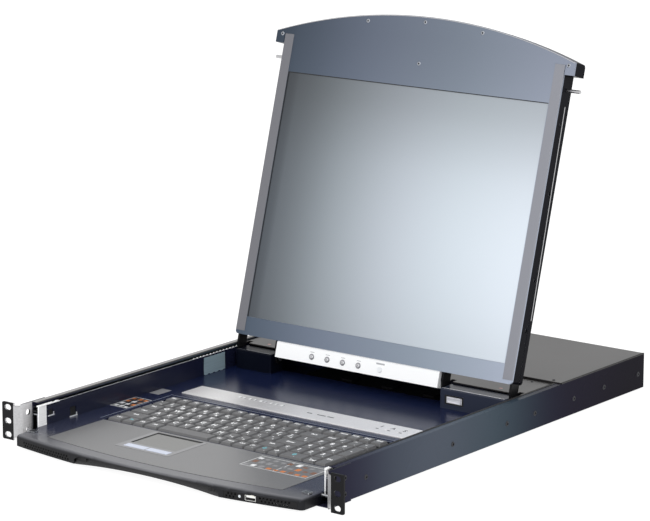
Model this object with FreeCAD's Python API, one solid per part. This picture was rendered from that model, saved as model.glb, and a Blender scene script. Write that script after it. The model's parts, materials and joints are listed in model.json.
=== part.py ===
import FreeCAD, Part

import itertools
import math
import os

from FreeCAD import Matrix, Vector

# A 19-inch rackmount LCD console drawer, one unit high. A sheet-steel chassis is screwed into the rack by two ears.
# A tray with the keyboard, touchpad and hinged screen runs out of it on two ball-bearing telescopic slides.
#
# Frame: X to the right seen from the front, Y to the back, Z up, in millimetres. The origin is the centre of the
# ear slot pattern, on the plane where the ears meet the rack rails. The tray is home and the screen is raised.

# ---------------------------------------------------------------- rack interface
EAR_SPAN = 482.6            # over both ears
EAR_PLATE_WIDTH = 17.0      # front plate of one ear
EAR_HEIGHT = 43.2
EAR_SHEET = 2.0
EAR_JOGGLE_Y = 3.8          # where the ear's flange has come in to the chassis wall
EAR_FLANGE_END = 42.0
EAR_NOTCH = 2.2             # relief at the top and bottom of the bend
EAR_PIN_HOLE_R = 3.5        # the folded screen's lock pin reaches through it
SLOT_ROW_SPAN = 465.1       # between the two columns of slots
SLOT_PITCH = 15.875
SLOT_LENGTH = 9.2
SLOT_WIDTH = 6.6

# ---------------------------------------------------------------- chassis
EAR_STANDOUT = 25.6         # how far each ear reaches past the chassis wall
CHASSIS_WIDTH = EAR_SPAN - 2 * EAR_STANDOUT
CHASSIS_HEIGHT = 41.2
CHASSIS_SHEET = 1.2
CHASSIS_BASE_FRONT = 5.3
CHASSIS_WALL_FRONT = 20.0
CHASSIS_REAR = 627.7
WALL_FLANGE = 10.5          # width of the folded top edge of each side wall
REAR_BAY_FRONT = 448.0      # front edge of the fixed rear cover, 2 mm behind the tray
SLIDE_SCREW_Y = (70.6, 230.0, 336.0, 392.5)
COVER_SCREW_Y = (REAR_BAY_FRONT + 26.0, REAR_BAY_FRONT + 91.0, CHASSIS_REAR - 13.2)
SIDE_SCREW_Z = -1.8
SCREW_R = 1.5
SCREW_HEAD_R = 3.0
SCREW_HEAD = 1.0

# ---------------------------------------------------------------- telescopic slides
SLIDE_DEPTH = 11.0          # from chassis wall to tray wall
SLIDE_HEIGHT = 34.0
SLIDE_LENGTH = 428.0
SLIDE_FRONT = 16.0
SLIDE_SHEET = 1.2
SLIDE_TRAVEL = 400.0
BALL_R = 0.95
BALL_GAP = 0.15             # between a ball and its race
BALLS_PER_ROW = 6
CAGE_LENGTH = 170.0

# ---------------------------------------------------------------- tray, deck and front
TRAY_SHEET = 1.2
TRAY_WIDTH = CHASSIS_WIDTH - 2 * (CHASSIS_SHEET + SLIDE_DEPTH)
TRAY_FLOOR_GAP = 1.2        # between the chassis floor and the tray
TRAY_WALL_TOP = 17.2
TRAY_WALL_FRONT = 29.0
TRAY_REAR = 446.0
HINGE_Y = 373.5             # the screen's hinge axis over the tray
HINGE_Z = 10.95
DECK_TOP = -6.2
DECK_THICK = 1.8
DECK_REAR = HINGE_Y + 10.5
DECK_SIDE_GAP = 0.2
FRONT_HALF = TRAY_WIDTH / 2 - 0.5   # half width of the front moulding
FRONT_REACH = 42.0          # how far the middle of the front stands before the rack plane
FRONT_BOW = 20.0            # how much less it stands out at the ends
FRONT_BACK = 14.0           # where the front moulding meets the tray walls
FRONT_BOTTOM = -19.0
FRONT_WALL = 2.5
FRONT_EDGE_R = 4.2
FRONT_CORNER_R = 5.0
GRIP_HALF = 102.0           # half width of the finger grip
GRIP_END_TOP = -13.7        # the grip's upper edge at its ends, at the shoulders and in the middle
GRIP_SHOULDER_TOP = -9.6
GRIP_MID_TOP = -7.7
GRIP_SHOULDER = 90.0        # where the steep ends run into the shallow middle
GRIP_MID_BOTTOM = -14.0     # the lower edge rises from FRONT_BOTTOM to this in the middle
GRIP_DEPTH = 9.0
GRILLE_INNER = GRIP_HALF + 6.0
GRILLE_OUTER = FRONT_HALF - 6.0
GRILLE_SHEET = 1.2
GRILLE_TOP = -10.6
GRILLE_BOTTOM = -17.8
GRILLE_SEAT = 0.6           # rim that the grille rests on
GRILLE_PITCH = 4.3
GRILLE_HOLE = 2.2
GRILLE_ROW = 2.1            # from each long edge of the grille to a row of holes
USB_X = 141.5
USB_Z = (GRILLE_TOP + GRILLE_BOTTOM) / 2
USB_WIDTH = 13.1
USB_HEIGHT = 5.7
USB_LENGTH = 14.0
LED_X = 128.0
LED_R = 1.6

PALM_HALF = FRONT_HALF - 37.0
PALM_FRONT = -23.0
PALM_BOW = 14.0
PALM_RECESS = 1.0
PALM_PROUD = 0.3
PALM_GROOVE = 0.5

# ---------------------------------------------------------------- keyboard
KEY_CENTRE = -8.5           # the keyboard sits a little to the left on the deck
KEY_UNIT = (2 * FRONT_HALF - 93.0) / 19         # 16.5: nineteen keys across
KEY_ROW = 19.2
KEY_MARGIN = 1.5            # from the keys to the edge of their well
KEY_GAP = 1.5
KEY_TAPER = 1.6
KEY_TOP = -4.3
KEY_HEIGHT = 4.0
KEY_TRAVEL = 2.0
KEY_STEM = 5.0
FUNCTION_KEYS = 19
FUNCTION_ROW = 17.0
FUNCTION_GAP = 4.0
WELL_FRONT = 86.5
WELL_REAR = WELL_FRONT + 5 * KEY_ROW + FUNCTION_GAP + FUNCTION_ROW + 2 * KEY_MARGIN
WELL_LEFT = KEY_CENTRE - 9.5 * KEY_UNIT - KEY_MARGIN
WELL_RIGHT = KEY_CENTRE + 9.5 * KEY_UNIT + KEY_MARGIN
KEY_RIM = (5.5, 1.4, 0.6)   # raised rim round the keys: distance from the well, width and height

# ---------------------------------------------------------------- touchpad and label strip
PAD_FRAME = (-86.0, -9.0, 12.0, 80.0)       # left, right, front, back of the frame
PAD_AREA = (-78.0, -15.0, 32.0, 76.5)       # the sensing surface
PAD_BUTTONS_FRONT = 17.0
PAD_BUTTONS_DEPTH = 10.5
PAD_FRAME_PROUD = 0.5
PAD_BUTTON_TRAVEL = 0.7
STRIP_HALF = FRONT_HALF - 34.0
STRIP_FRONT = 226.0
STRIP_REAR = 264.0
STRIP_THICK = 1.4

# ---------------------------------------------------------------- screen, in its own upright frame
# s runs up the screen from its lower edge and d back from its front face.
HINGE_BELOW = 21.0          # the axis lies this far below the screen's lower edge
HINGE_BEHIND = 14.15        # and this far behind its front face
SCREEN_LEAN = 15.75         # degrees back from upright at rest
SCREEN_HALF = TRAY_WIDTH / 2 - TRAY_SHEET - 1.0
SCREEN_BODY = 356.0         # height of the body below the handle's wings
SCREEN_THICK = 22.0
SCREEN_SEAM = 14.5          # depth at which the frame meets the mounting plate and the rear shell
SCREEN_WALL = 1.8
SCREEN_PLATE = 0.7          # steel mounting plate, whose edge shows as a bright line in the sides
PLATE_INSET = 0.3
HANDLE_HALF = CHASSIS_WIDTH / 2 - CHASSIS_SHEET
HANDLE_APEX = 405.5
HANDLE_SAG = 34.2           # how much lower the arched handle is at its ends
GLASS_HALF = SCREEN_HALF - 14.1
GLASS_BOTTOM = 22.5
GLASS_TOP = 322.0
PLATE_TOP = GLASS_TOP
GLASS_RECESS = 0.5
GLASS_THICK = 2.0
GLASS_GAP = 0.2
PANEL_THICK = 9.5
STRIP_BAND = 13.4           # width of each bright side strip
STRIP_BAND_TOP = 367.5
STRIP_BAND_THICK = 1.2
STRIP_BAND_PROUD = 0.4

BAR_LEFT = -(SCREEN_HALF - 65.0)
BAR_RIGHT = SCREEN_HALF - 99.6
BAR_HEIGHT = 19.5
BAR_DEPTH = 9.0
BAR_WALL = 1.6
BUTTON_R = 3.5
BUTTON_FIT = 0.06
BUTTON_S = -11.3
BUTTON_X = (-82.3, -59.3, -36.4, -13.4, 17.9)
BUTTON_PROUD = 0.9
BUTTON_TRAVEL = 0.6

PIN_R = 2.1
PIN_S = 339.5
PIN_D = 13.0
PIN_TIP = HANDLE_HALF + 5.1
PIN_FIT = 0.06
PIN_GUIDE_X = SCREEN_HALF - 20.3    # inner end of the block that guides the pin
PIN_TRAVEL = 10.0

# ---------------------------------------------------------------- hinges
ARM_SHEET = 2.8
ARM_EYE_R = 6.5
ARM_FRONT = 4.0             # depth of the blade's front and back edges in the screen
ARM_BACK = 19.0
ARM_TOP = 34.0
SHAFT_R = 3.0
SHAFT_FIT = 0.06
BARREL_R = 4.2
COVER_FRONT = HINGE_Y - 13.5
COVER_REAR = HINGE_Y + 9.5
COVER_TOP = 17.3
COVER_WALL = 2.0
ARM_GAP = 0.9               # between an arm and the piece beside it


# ================================================================ helpers
def box(x0, x1, y0, y1, z0, z1):
    return Part.makeBox(x1 - x0, y1 - y0, z1 - z0, Vector(x0, y0, z0))


def rod(radius, start, end):
    """A cylinder from one point to another."""
    axis = Vector(*end) - Vector(*start)
    return Part.makeCylinder(radius, axis.Length, Vector(*start), axis)


def prism(points, direction):
    """A polygon swept along a direction."""
    corners = [Vector(*p) for p in points]
    return Part.Face(Part.makePolygon(corners + corners[:1])).extrude(Vector(*direction))


def fuse(shapes):
    shapes = list(shapes)
    solid = shapes[0] if len(shapes) == 1 else shapes[0].fuse(shapes[1:])
    return solid.removeSplitter()


def mirrored(shape):
    """The same piece on the other side of the object."""
    return shape.mirror(Vector(0, 0, 0), Vector(1, 0, 0))


def edges_along(shape, axis, keep=lambda p: True):
    """Straight edges that run along an axis and whose middle passes a test."""
    found = []
    for edge in shape.Edges:
        if not isinstance(edge.Curve, Part.Line):
            continue
        if abs(abs(edge.Curve.Direction.dot(axis)) - 1) < 1e-6 and keep(edge.CenterOfMass):
            found.append(edge)
    return found


def save(node, *solids):
    shape = solids[0] if len(solids) == 1 else Part.makeCompound(list(solids))
    for number, solid in enumerate(shape.Solids):
        if not solid.isValid():
            print("not valid:", node, number)
    shape.exportStep("parts/" + node + ".step")


X_AXIS = Vector(1, 0, 0)
Y_AXIS = Vector(0, 1, 0)
Z_AXIS = Vector(0, 0, 1)

half_width = CHASSIS_WIDTH / 2
inner_half = half_width - CHASSIS_SHEET
base_z = -CHASSIS_HEIGHT / 2
top_z = CHASSIS_HEIGHT / 2
floor_z = base_z + CHASSIS_SHEET
tray_half = inner_half - SLIDE_DEPTH                # outer face of the tray's walls
tray_inner = tray_half - TRAY_SHEET
tray_bottom = floor_z + TRAY_FLOOR_GAP
deck_half = tray_inner - DECK_SIDE_GAP
deck_under = DECK_TOP - DECK_THICK


# ================================================================ screen frame
def upright(x0, x1, s0, s1, d0, d1):
    """A box in the screen's own frame, with the hinge axis as its origin."""
    return box(x0, x1, d0 - HINGE_BEHIND, d1 - HINGE_BEHIND, s0 + HINGE_BELOW, s1 + HINGE_BELOW)


def screen_point(x, s, d):
    return Vector(x, d - HINGE_BEHIND, s + HINGE_BELOW)


def raised(shape):
    """Lean a piece of the screen back to its rest angle, and put it on the hinge axis."""
    turn = Matrix()
    turn.rotateX(math.radians(-SCREEN_LEAN))
    turn.move(Vector(0, HINGE_Y, HINGE_Z))
    return shape.transformed(turn)


def folded_point(x, s, d):
    """Where a point of the screen lies when the screen is folded flat over the keyboard."""
    return Vector(x, HINGE_Y - HINGE_BELOW - s, HINGE_Z - HINGE_BEHIND + d)


pin_home = folded_point(0, PIN_S, PIN_D)            # where the lock pins stand when the screen is folded


# ================================================================ rack ears
def rack_ear():
    """Right ear: front plate, joggled flange against the outside of the chassis wall."""
    outer = EAR_SPAN / 2
    inner = outer - EAR_PLATE_WIDTH
    low = -EAR_HEIGHT / 2
    bend = math.atan2(EAR_JOGGLE_Y + EAR_SHEET, inner - half_width)
    bend_x = inner + EAR_SHEET * math.tan(bend / 2)
    bend_y = EAR_JOGGLE_Y + EAR_SHEET * math.tan((math.pi / 2 - bend) / 2)
    plan = [(outer, -EAR_SHEET, low), (inner, -EAR_SHEET, low), (half_width, EAR_JOGGLE_Y, low),
            (half_width, EAR_FLANGE_END, low), (half_width + EAR_SHEET, EAR_FLANGE_END, low),
            (half_width + EAR_SHEET, bend_y, low), (bend_x, 0, low), (outer, 0, low)]
    ear = prism(plan, (0, 0, EAR_HEIGHT))
    for side in (-1, 1):                            # the flange is a little lower than the plate, the bend more
        z0 = side * top_z - (0 if side > 0 else EAR_HEIGHT)
        ear = ear.cut(box(half_width - 1, inner - 0.1, 0.5, EAR_FLANGE_END + 1, z0, z0 + EAR_HEIGHT))
        z0 -= side * EAR_NOTCH
        ear = ear.cut(box(half_width + EAR_SHEET, inner, -EAR_SHEET - 1, bend_y, z0, z0 + EAR_HEIGHT))
    ear = ear.makeFillet(EAR_SHEET, edges_along(ear, Y_AXIS, lambda p: p.x > outer - 0.1))
    for row in (-1, 0, 1):
        ear = ear.cut(slot(SLOT_ROW_SPAN / 2, row * SLOT_PITCH))
    ear = ear.cut(rod(EAR_PIN_HOLE_R, (half_width - 1, pin_home.y, pin_home.z),
                      (inner + 2, pin_home.y, pin_home.z)))
    ear = ear.cut(rod(CATCH_BOLT_R + 0.5, (half_width - 1, CATCH_BOLT_Y, CATCH_BOLT_Z),
                      (inner + 2, CATCH_BOLT_Y, CATCH_BOLT_Z)))
    for z in EAR_SCREW_Z:
        ear = ear.cut(rod(SCREW_R, (half_width - 1, EAR_SCREW_Y, z), (half_width + 4, EAR_SCREW_Y, z)))
    return ear


def slot(x, z):
    """A slotted hole through an ear."""
    straight = (SLOT_LENGTH - SLOT_WIDTH) / 2
    radius = SLOT_WIDTH / 2
    cut = box(x - straight, x + straight, -EAR_SHEET - 1, 1, z - radius, z + radius)
    ends = [rod(radius, (x + side * straight, -EAR_SHEET - 1, z), (x + side * straight, 1, z))
            for side in (-1, 1)]
    return cut.fuse(ends)


# ================================================================ release catches of the tray
CATCH_X = FRONT_HALF - 9.0
CATCH_Y = -3.0
CATCH_KNOB = (10.0, 8.0, 1.9)       # along X, along Y and height
CATCH_TRAVEL = 3.5                  # outwards, from free to locked
CATCH_PLATE = 1.2
CATCH_BOLT_R = 1.6
CATCH_BOLT_Y = 11.4
CATCH_BOLT_Z = deck_under - 0.3 - CATCH_BOLT_R
CATCH_BOLT_TIP = half_width - 0.5   # free of the ear when unlocked
CATCH_GAP = 0.3
EAR_SCREW_Y = 31.0
EAR_SCREW_Z = (-11.0, 7.0)


def release_catch():
    """Right catch: a thumb knob on the deck, and a bolt that reaches into the ear."""
    long, deep, high = CATCH_KNOB
    knob = box(CATCH_X - long / 2, CATCH_X + long / 2, CATCH_Y - deep / 2, CATCH_Y + deep / 2,
               DECK_TOP + CATCH_GAP, DECK_TOP + high)
    knob = knob.makeFillet(0.8, edges_along(knob, Z_AXIS))
    for step in (-2, 0, 2):                         # thumb grooves
        x = CATCH_X + step
        knob = knob.cut(box(x - 0.4, x + 0.4, CATCH_Y - deep, CATCH_Y + deep, DECK_TOP + high - 0.5,
                            DECK_TOP + high + 1))
    plate_top = deck_under - CATCH_GAP
    stem = box(CATCH_X - 2, CATCH_X + 2, CATCH_Y - 1.5, CATCH_Y + 1.5, plate_top - CATCH_PLATE,
               DECK_TOP + CATCH_GAP + 0.5)
    plate = box(CATCH_X - 5, CATCH_X + 2, CATCH_Y - 1.5, CATCH_BOLT_Y + CATCH_BOLT_R,
                plate_top - CATCH_PLATE, plate_top)
    bolt = rod(CATCH_BOLT_R, (CATCH_X - 4, CATCH_BOLT_Y, CATCH_BOLT_Z),
               (CATCH_BOLT_TIP, CATCH_BOLT_Y, CATCH_BOLT_Z))
    return fuse([knob, stem, plate, bolt])


# ================================================================ chassis
def chassis_base():
    """One folded sheet: floor, two side walls and their folded top edges."""
    floor = box(-half_width, half_width, CHASSIS_BASE_FRONT, CHASSIS_REAR, base_z, floor_z)
    wall = box(inner_half, half_width, CHASSIS_WALL_FRONT, CHASSIS_REAR, base_z, top_z)
    flange = box(half_width - WALL_FLANGE, half_width, CHASSIS_WALL_FRONT, REAR_BAY_FRONT - 1,
                 top_z - CHASSIS_SHEET, top_z)
    shell = fuse([floor, wall, flange, mirrored(wall), mirrored(flange)])
    folds = edges_along(shell, Y_AXIS, lambda p: abs(abs(p.x) - half_width) < 0.01 and p.y > 30)
    shell = shell.makeFillet(CHASSIS_SHEET * 0.9, [e for e in folds if e.CenterOfMass.z < 0])
    for y in SLIDE_SCREW_Y + COVER_SCREW_Y:
        shell = shell.cut(rod(SCREW_R, (-half_width - 1, y, SIDE_SCREW_Z), (half_width + 1, y, SIDE_SCREW_Z)))
    for z in EAR_SCREW_Z:
        shell = shell.cut(rod(SCREW_R, (-half_width - 1, EAR_SCREW_Y, z), (half_width + 1, EAR_SCREW_Y, z)))
    return shell


def rear_panel():
    """Rear wall with its cut-outs, folded in under the cover."""
    panel = box(-inner_half, inner_half, CHASSIS_REAR - CHASSIS_SHEET, CHASSIS_REAR, floor_z, top_z)
    foot = box(-inner_half, inner_half, CHASSIS_REAR - 9, CHASSIS_REAR, floor_z, floor_z + CHASSIS_SHEET)
    panel = fuse([panel, foot])
    for x in PORT_X:
        panel = panel.cut(dee(x, PORT_Z, DEE_WIDTH + 0.4, DEE_HEIGHT + 0.4, CHASSIS_REAR - 3, CHASSIS_REAR + 1))
        for side in (-1, 1):
            at = x + side * DEE_SCREW_SPAN / 2
            panel = panel.cut(rod(1.6, (at, CHASSIS_REAR - 3, PORT_Z), (at, CHASSIS_REAR + 1, PORT_Z)))
    half_w, half_h = INLET_BODY[0] / 2 + 0.2, INLET_BODY[1] / 2 + 0.2
    panel = panel.cut(box(INLET_X - half_w, INLET_X + half_w, CHASSIS_REAR - 3, CHASSIS_REAR + 1,
                          INLET_Z - half_h, INLET_Z + half_h))
    return panel.cut(switch_box(SWITCH_GAP + SWITCH_WALL + 0.2, CHASSIS_REAR - 3, CHASSIS_REAR + 1))


def rear_top_cover():
    """Fixed lid of the rear bay: its side flanges hang inside the chassis walls."""
    lid = box(-half_width, half_width, REAR_BAY_FRONT, CHASSIS_REAR, top_z, top_z + CHASSIS_SHEET)
    flange = box(inner_half - CHASSIS_SHEET, inner_half, REAR_BAY_FRONT + 4, CHASSIS_REAR - 2,
                 SIDE_SCREW_Z - 6, top_z)
    lip = box(-tray_half, tray_half, REAR_BAY_FRONT, REAR_BAY_FRONT + CHASSIS_SHEET, top_z - 3, top_z)
    lid = fuse([lid, flange, mirrored(flange), lip])
    lid = lid.makeFillet(0.8, edges_along(lid, X_AXIS, lambda p: p.z > top_z + 1))
    for y in COVER_SCREW_Y:
        lid = lid.cut(rod(SCREW_R, (-half_width, y, SIDE_SCREW_Z), (half_width, y, SIDE_SCREW_Z)))
    return lid


def side_screw(y, z, reach, bite):
    """A pan-head screw in the right wall; it stands off by what it clamps and bites into what is behind."""
    seat = half_width + reach
    head = Part.makeCone(SCREW_HEAD_R, 0.7 * SCREW_HEAD_R, SCREW_HEAD, Vector(seat, y, z), X_AXIS)
    shank = rod(SCREW_R - 0.02, (inner_half - bite, y, z), (seat, y, z))
    return head.fuse(shank)


def chassis_screws():
    right = [side_screw(y, SIDE_SCREW_Z, 0, SLIDE_SHEET / 2) for y in SLIDE_SCREW_Y + COVER_SCREW_Y]
    right += [side_screw(EAR_SCREW_Y, z, EAR_SHEET, 0) for z in EAR_SCREW_Z]
    return right + [mirrored(s) for s in right]


# ================================================================ rear bay electronics
PORT_PITCH = 33.5
PORT_Z = -8.0
DEE_WIDTH = 16.4
DEE_HEIGHT = 8.4
DEE_SCREW_SPAN = 25.0
DEE_FLANGE = (30.8, 12.5, 1.0)
DEE_REACH = 5.5
DEE_BODY = 10.0
INLET_X = inner_half - 64.5
INLET_Z = -4.0
INLET_BODY = (27.0, 20.0)
INLET_DEPTH = 22.0
INLET_WALL = 2.0
SWITCH_X = INLET_X + 40.0
ENTRY_FLANGE = (INLET_X - 24.0, SWITCH_X + 16.0, 26.0, 2.5)     # left, right, height and thickness
FIRST_PORT = 44.5 - inner_half
PORT_X = tuple(FIRST_PORT + PORT_PITCH * n
               for n in range(int((ENTRY_FLANGE[0] - 31 - FIRST_PORT) / PORT_PITCH) + 1))
SWITCH_SIZE = (15.0, 19.2)
SWITCH_PIVOT_R = 1.5
SWITCH_PIVOT_Y = CHASSIS_REAR - 3.0
SWITCH_ROCK = 8.0
SWITCH_WALL = 2.0
SWITCH_GAP = 0.6
SWITCH_FIT = 0.05
BOARD_Z = floor_z + 3.0
BOARD_THICK = 1.6
SUPPLY_LEFT = INLET_X - 44.0
SUPPLY_HEIGHT = 33.0


def dee(x, z, width, height, y0, y1):
    """A D-shaped prism along Y: wide side up."""
    slope = height * math.tan(math.radians(10))
    points = [(x - width / 2, y0, z + height / 2), (x + width / 2, y0, z + height / 2),
              (x + width / 2 - slope, y0, z - height / 2), (x - width / 2 + slope, y0, z - height / 2)]
    return prism(points, (0, y1 - y0, 0))


def port_socket(x):
    """A D-shaped video socket with its flange and two hexagonal posts."""
    wide, high, thick = DEE_FLANGE
    flange_back = CHASSIS_REAR - CHASSIS_SHEET
    flange = box(x - wide / 2, x + wide / 2, flange_back - thick, flange_back, PORT_Z - high / 2,
                 PORT_Z + high / 2)
    shell = dee(x, PORT_Z, DEE_WIDTH, DEE_HEIGHT, flange_back - thick, CHASSIS_REAR + DEE_REACH)
    shell = shell.cut(dee(x, PORT_Z, DEE_WIDTH - 1.2, DEE_HEIGHT - 1.2, CHASSIS_REAR + DEE_REACH - 1.5,
                          CHASSIS_REAR + DEE_REACH + 1))
    body = box(x - wide / 2 + 4, x + wide / 2 - 4, flange_back - thick - DEE_BODY, flange_back - thick,
               PORT_Z - high / 2, PORT_Z + high / 2)
    legs = box(x - 8, x + 8, flange_back - thick - DEE_BODY, flange_back - thick - DEE_BODY + 4,
               BOARD_Z + BOARD_THICK, PORT_Z)
    posts = []
    for side in (-1, 1):
        at = x + side * DEE_SCREW_SPAN / 2
        posts.append(hex_post(at, PORT_Z, 2.4, CHASSIS_REAR, CHASSIS_REAR + DEE_REACH - 1))
        posts.append(hex_post(at, PORT_Z, 1.5, flange_back - thick, CHASSIS_REAR))
    return fuse([flange, shell, body, legs] + posts)


def hex_post(x, z, radius, y0, y1):
    points = [(x + radius * math.cos(math.radians(60 * n)), y0, z + radius * math.sin(math.radians(60 * n)))
              for n in range(6)]
    return prism(points, (0, y1 - y0, 0))


def switch_box(grow, y0, y1):
    half_w, half_h = SWITCH_SIZE[0] / 2 + grow, SWITCH_SIZE[1] / 2 + 0.9 + grow
    return box(SWITCH_X - half_w, SWITCH_X + half_w, y0, y1, INLET_Z - half_h, INLET_Z + half_h)


def power_inlet():
    """Power entry moulding: open three-blade mains inlet, and the well of the rocker switch beside it."""
    left, right, high, thick = ENTRY_FLANGE
    face = CHASSIS_REAR + thick
    flange = box(left, right, CHASSIS_REAR, face, INLET_Z - high / 2, INLET_Z + high / 2)
    flange = flange.makeFillet(3.0, edges_along(flange, Y_AXIS))
    bw, bh = INLET_BODY
    y0 = face - INLET_DEPTH
    body = box(INLET_X - bw / 2, INLET_X + bw / 2, y0, face, INLET_Z - bh / 2, INLET_Z + bh / 2)
    well = switch_box(SWITCH_GAP + SWITCH_WALL, SWITCH_PIVOT_Y - 6, CHASSIS_REAR)
    body = fuse([flange, body, well])
    cw, ch = bw / 2 - INLET_WALL, bh / 2 - INLET_WALL
    points = [(INLET_X - cw, y0 + 5, INLET_Z - ch), (INLET_X + cw, y0 + 5, INLET_Z - ch),
              (INLET_X + cw, y0 + 5, INLET_Z + ch - 4), (INLET_X + cw - 4, y0 + 5, INLET_Z + ch),
              (INLET_X - cw + 4, y0 + 5, INLET_Z + ch), (INLET_X - cw, y0 + 5, INLET_Z + ch - 4)]
    body = body.cut(prism(points, (0, INLET_DEPTH, 0)))
    body = body.cut(switch_box(SWITCH_GAP, SWITCH_PIVOT_Y - 4, face + 1))
    body = body.cut(switch_pivot(SWITCH_FIT))
    blades = [box(INLET_X + dx - 1, INLET_X + dx + 1, y0 + 5, CHASSIS_REAR - 3, INLET_Z + dz - 2, INLET_Z + dz + 2)
              for dx, dz in ((-7, -2), (7, -2), (0, 3))]
    return fuse([body] + blades)


def switch_pivot(clearance):
    reach = SWITCH_SIZE[0] / 2 + SWITCH_GAP + SWITCH_WALL / 2 + clearance
    return rod(SWITCH_PIVOT_R + clearance, (SWITCH_X - reach, SWITCH_PIVOT_Y, INLET_Z),
               (SWITCH_X + reach, SWITCH_PIVOT_Y, INLET_Z))


def power_switch():
    """Rocker of the power switch, resting on its lower half."""
    wide, high = SWITCH_SIZE
    left = SWITCH_X - wide / 2
    crest = CHASSIS_REAR + ENTRY_FLANGE[3] + 0.3
    lean = high / 2 * math.tan(math.radians(SWITCH_ROCK))
    points = [(left, SWITCH_PIVOT_Y - 1.5, INLET_Z - high / 2), (left, crest + lean, INLET_Z - high / 2),
              (left, crest, INLET_Z), (left, crest + lean, INLET_Z + high / 2),
              (left, SWITCH_PIVOT_Y - 1.5, INLET_Z + high / 2)]
    rocker = fuse([prism(points, (wide, 0, 0)), switch_pivot(0)])
    rocker.rotate(Vector(0, SWITCH_PIVOT_Y, INLET_Z), X_AXIS, SWITCH_ROCK)
    return rocker


def main_board():
    """Switching board on four pillars over the chassis floor, with its chips."""
    x0, x1, y0, y1 = -inner_half + 12, SUPPLY_LEFT - 10, REAR_BAY_FRONT + 14, CHASSIS_REAR - 9
    board = box(x0, x1, y0, y1, BOARD_Z, BOARD_Z + BOARD_THICK)
    pillars = [box(x - 3, x + 3, y - 3, y + 3, floor_z, BOARD_Z)
               for x in (x0 + 8, x1 - 8) for y in (y0 + 8, y1 - 14)]
    chips = [box(x, x + 24, y0 + 30, y0 + 54, BOARD_Z + BOARD_THICK, BOARD_Z + BOARD_THICK + 2.5)
             for x in (x0 + 40, x0 + 120, x0 + 200) if x + 30 < x1]
    return fuse([board] + pillars + chips)


def power_supply():
    """Closed metal box of the supply, on the chassis floor, with a row of pressed grooves in its lid."""
    x0, x1, y0, y1 = SUPPLY_LEFT, inner_half - 6, REAR_BAY_FRONT + 16, CHASSIS_REAR - 40
    top = floor_z + SUPPLY_HEIGHT
    unit = box(x0, x1, y0, y1, floor_z, top)
    unit = unit.makeFillet(1.5, edges_along(unit, Z_AXIS))
    grooves = 7
    pitch = (y1 - y0 - 40) / grooves
    for n in range(grooves):
        y = y0 + 20 + pitch * n
        unit = unit.cut(box(x0 + 20, x1 - 20, y, y + pitch / 3, top - 0.8, top + 1))
    return unit


# ================================================================ slides
def channel(u_web, u_edge, half_height):
    """Right-hand channel section: web at one depth, flanges that reach to another.

    Depth u is counted from the chassis wall towards the tray.
    """
    web = sorted((u_web, u_web + math.copysign(SLIDE_SHEET, u_edge - u_web)))
    reach = sorted((u_web, u_edge))
    z0, z1 = SIDE_SCREW_Z - half_height, SIDE_SCREW_Z + half_height
    solids = [box(inner_half - web[1], inner_half - web[0], SLIDE_FRONT, SLIDE_FRONT + SLIDE_LENGTH, z0, z1)]
    for low in (z0, z1 - SLIDE_SHEET):
        solids.append(box(inner_half - reach[1], inner_half - reach[0], SLIDE_FRONT, SLIDE_FRONT + SLIDE_LENGTH,
                          low, low + SLIDE_SHEET))
    return fuse(solids)


race = 2 * (BALL_R + BALL_GAP)                      # space between two nested flanges
outer_half = SLIDE_HEIGHT / 2
middle_half = outer_half - SLIDE_SHEET - race
inner_member_half = middle_half - SLIDE_SHEET - race
outer_reach = SLIDE_DEPTH - 0.6
middle_web = 2.6
middle_reach = SLIDE_DEPTH - SLIDE_SHEET - 0.6
inner_reach = middle_web + SLIDE_SHEET + 0.8


def slide_outer():
    """Outer member, screwed to the chassis wall; it starts behind the ear."""
    member = channel(0, outer_reach, outer_half)
    member = member.cut(box(0, half_width, 0, CHASSIS_WALL_FRONT + 0.5, -40, 40))
    for y in SLIDE_SCREW_Y:
        member = member.cut(rod(SCREW_R, (inner_half - 2, y, SIDE_SCREW_Z), (inner_half + 1, y, SIDE_SCREW_Z)))
    return member


def slide_middle():
    return channel(middle_web, middle_reach, middle_half)


def slide_inner():
    """Inner member, riveted to the tray wall, with lightening slots."""
    member = channel(SLIDE_DEPTH, inner_reach, inner_member_half)
    for n in range(4):
        y = SLIDE_FRONT + 60 + 100 * n
        member = member.cut(box(tray_half - 1, tray_half + 3, y, y + 30, SIDE_SCREW_Z - 3, SIDE_SCREW_Z + 3))
    return member


def ball(x, y, z):
    """A bearing ball as a regular solid of twenty faces: the slides hold dozens of them."""
    golden = (1 + math.sqrt(5)) / 2
    size = BALL_R / math.hypot(1, golden)
    corners = []
    for a, b in itertools.product((-1, 1), (-golden, golden)):
        corners += [Vector(0, a, b), Vector(a, b, 0), Vector(b, 0, a)]
    sides = [trio for trio in itertools.combinations(corners, 3)
             if all(abs(p.distanceToPoint(q) - 2) < 1e-6 for p, q in itertools.combinations(trio, 2))]
    faces = []
    for trio in sides:
        points = [Vector(x, y, z) + p * size for p in trio]
        faces.append(Part.Face(Part.makePolygon(points + points[:1])))
    solid = Part.Solid(Part.Shell(faces))
    return solid if solid.Volume > 0 else solid.reversed()


def ball_cage(u, half_height, y0):
    """Two rows of balls in their strips, above and below one member of the right slide."""
    solids = []
    x = inner_half - u
    strip = 0.8
    for side in (-1, 1):
        z = SIDE_SCREW_Z + side * (half_height + race / 2)
        cage = box(x - 1.8, x + 1.8, y0, y0 + CAGE_LENGTH, z - strip / 2, z + strip / 2)
        for n in range(BALLS_PER_ROW):
            y = y0 + CAGE_LENGTH * (n + 0.5) / BALLS_PER_ROW
            pocket = BALL_R + 0.1
            cage = cage.cut(box(x - pocket, x + pocket, y - pocket, y + pocket, z - 1, z + 1))
            solids.append(ball(x, y, z))
        solids.append(cage)
    return solids


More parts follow.
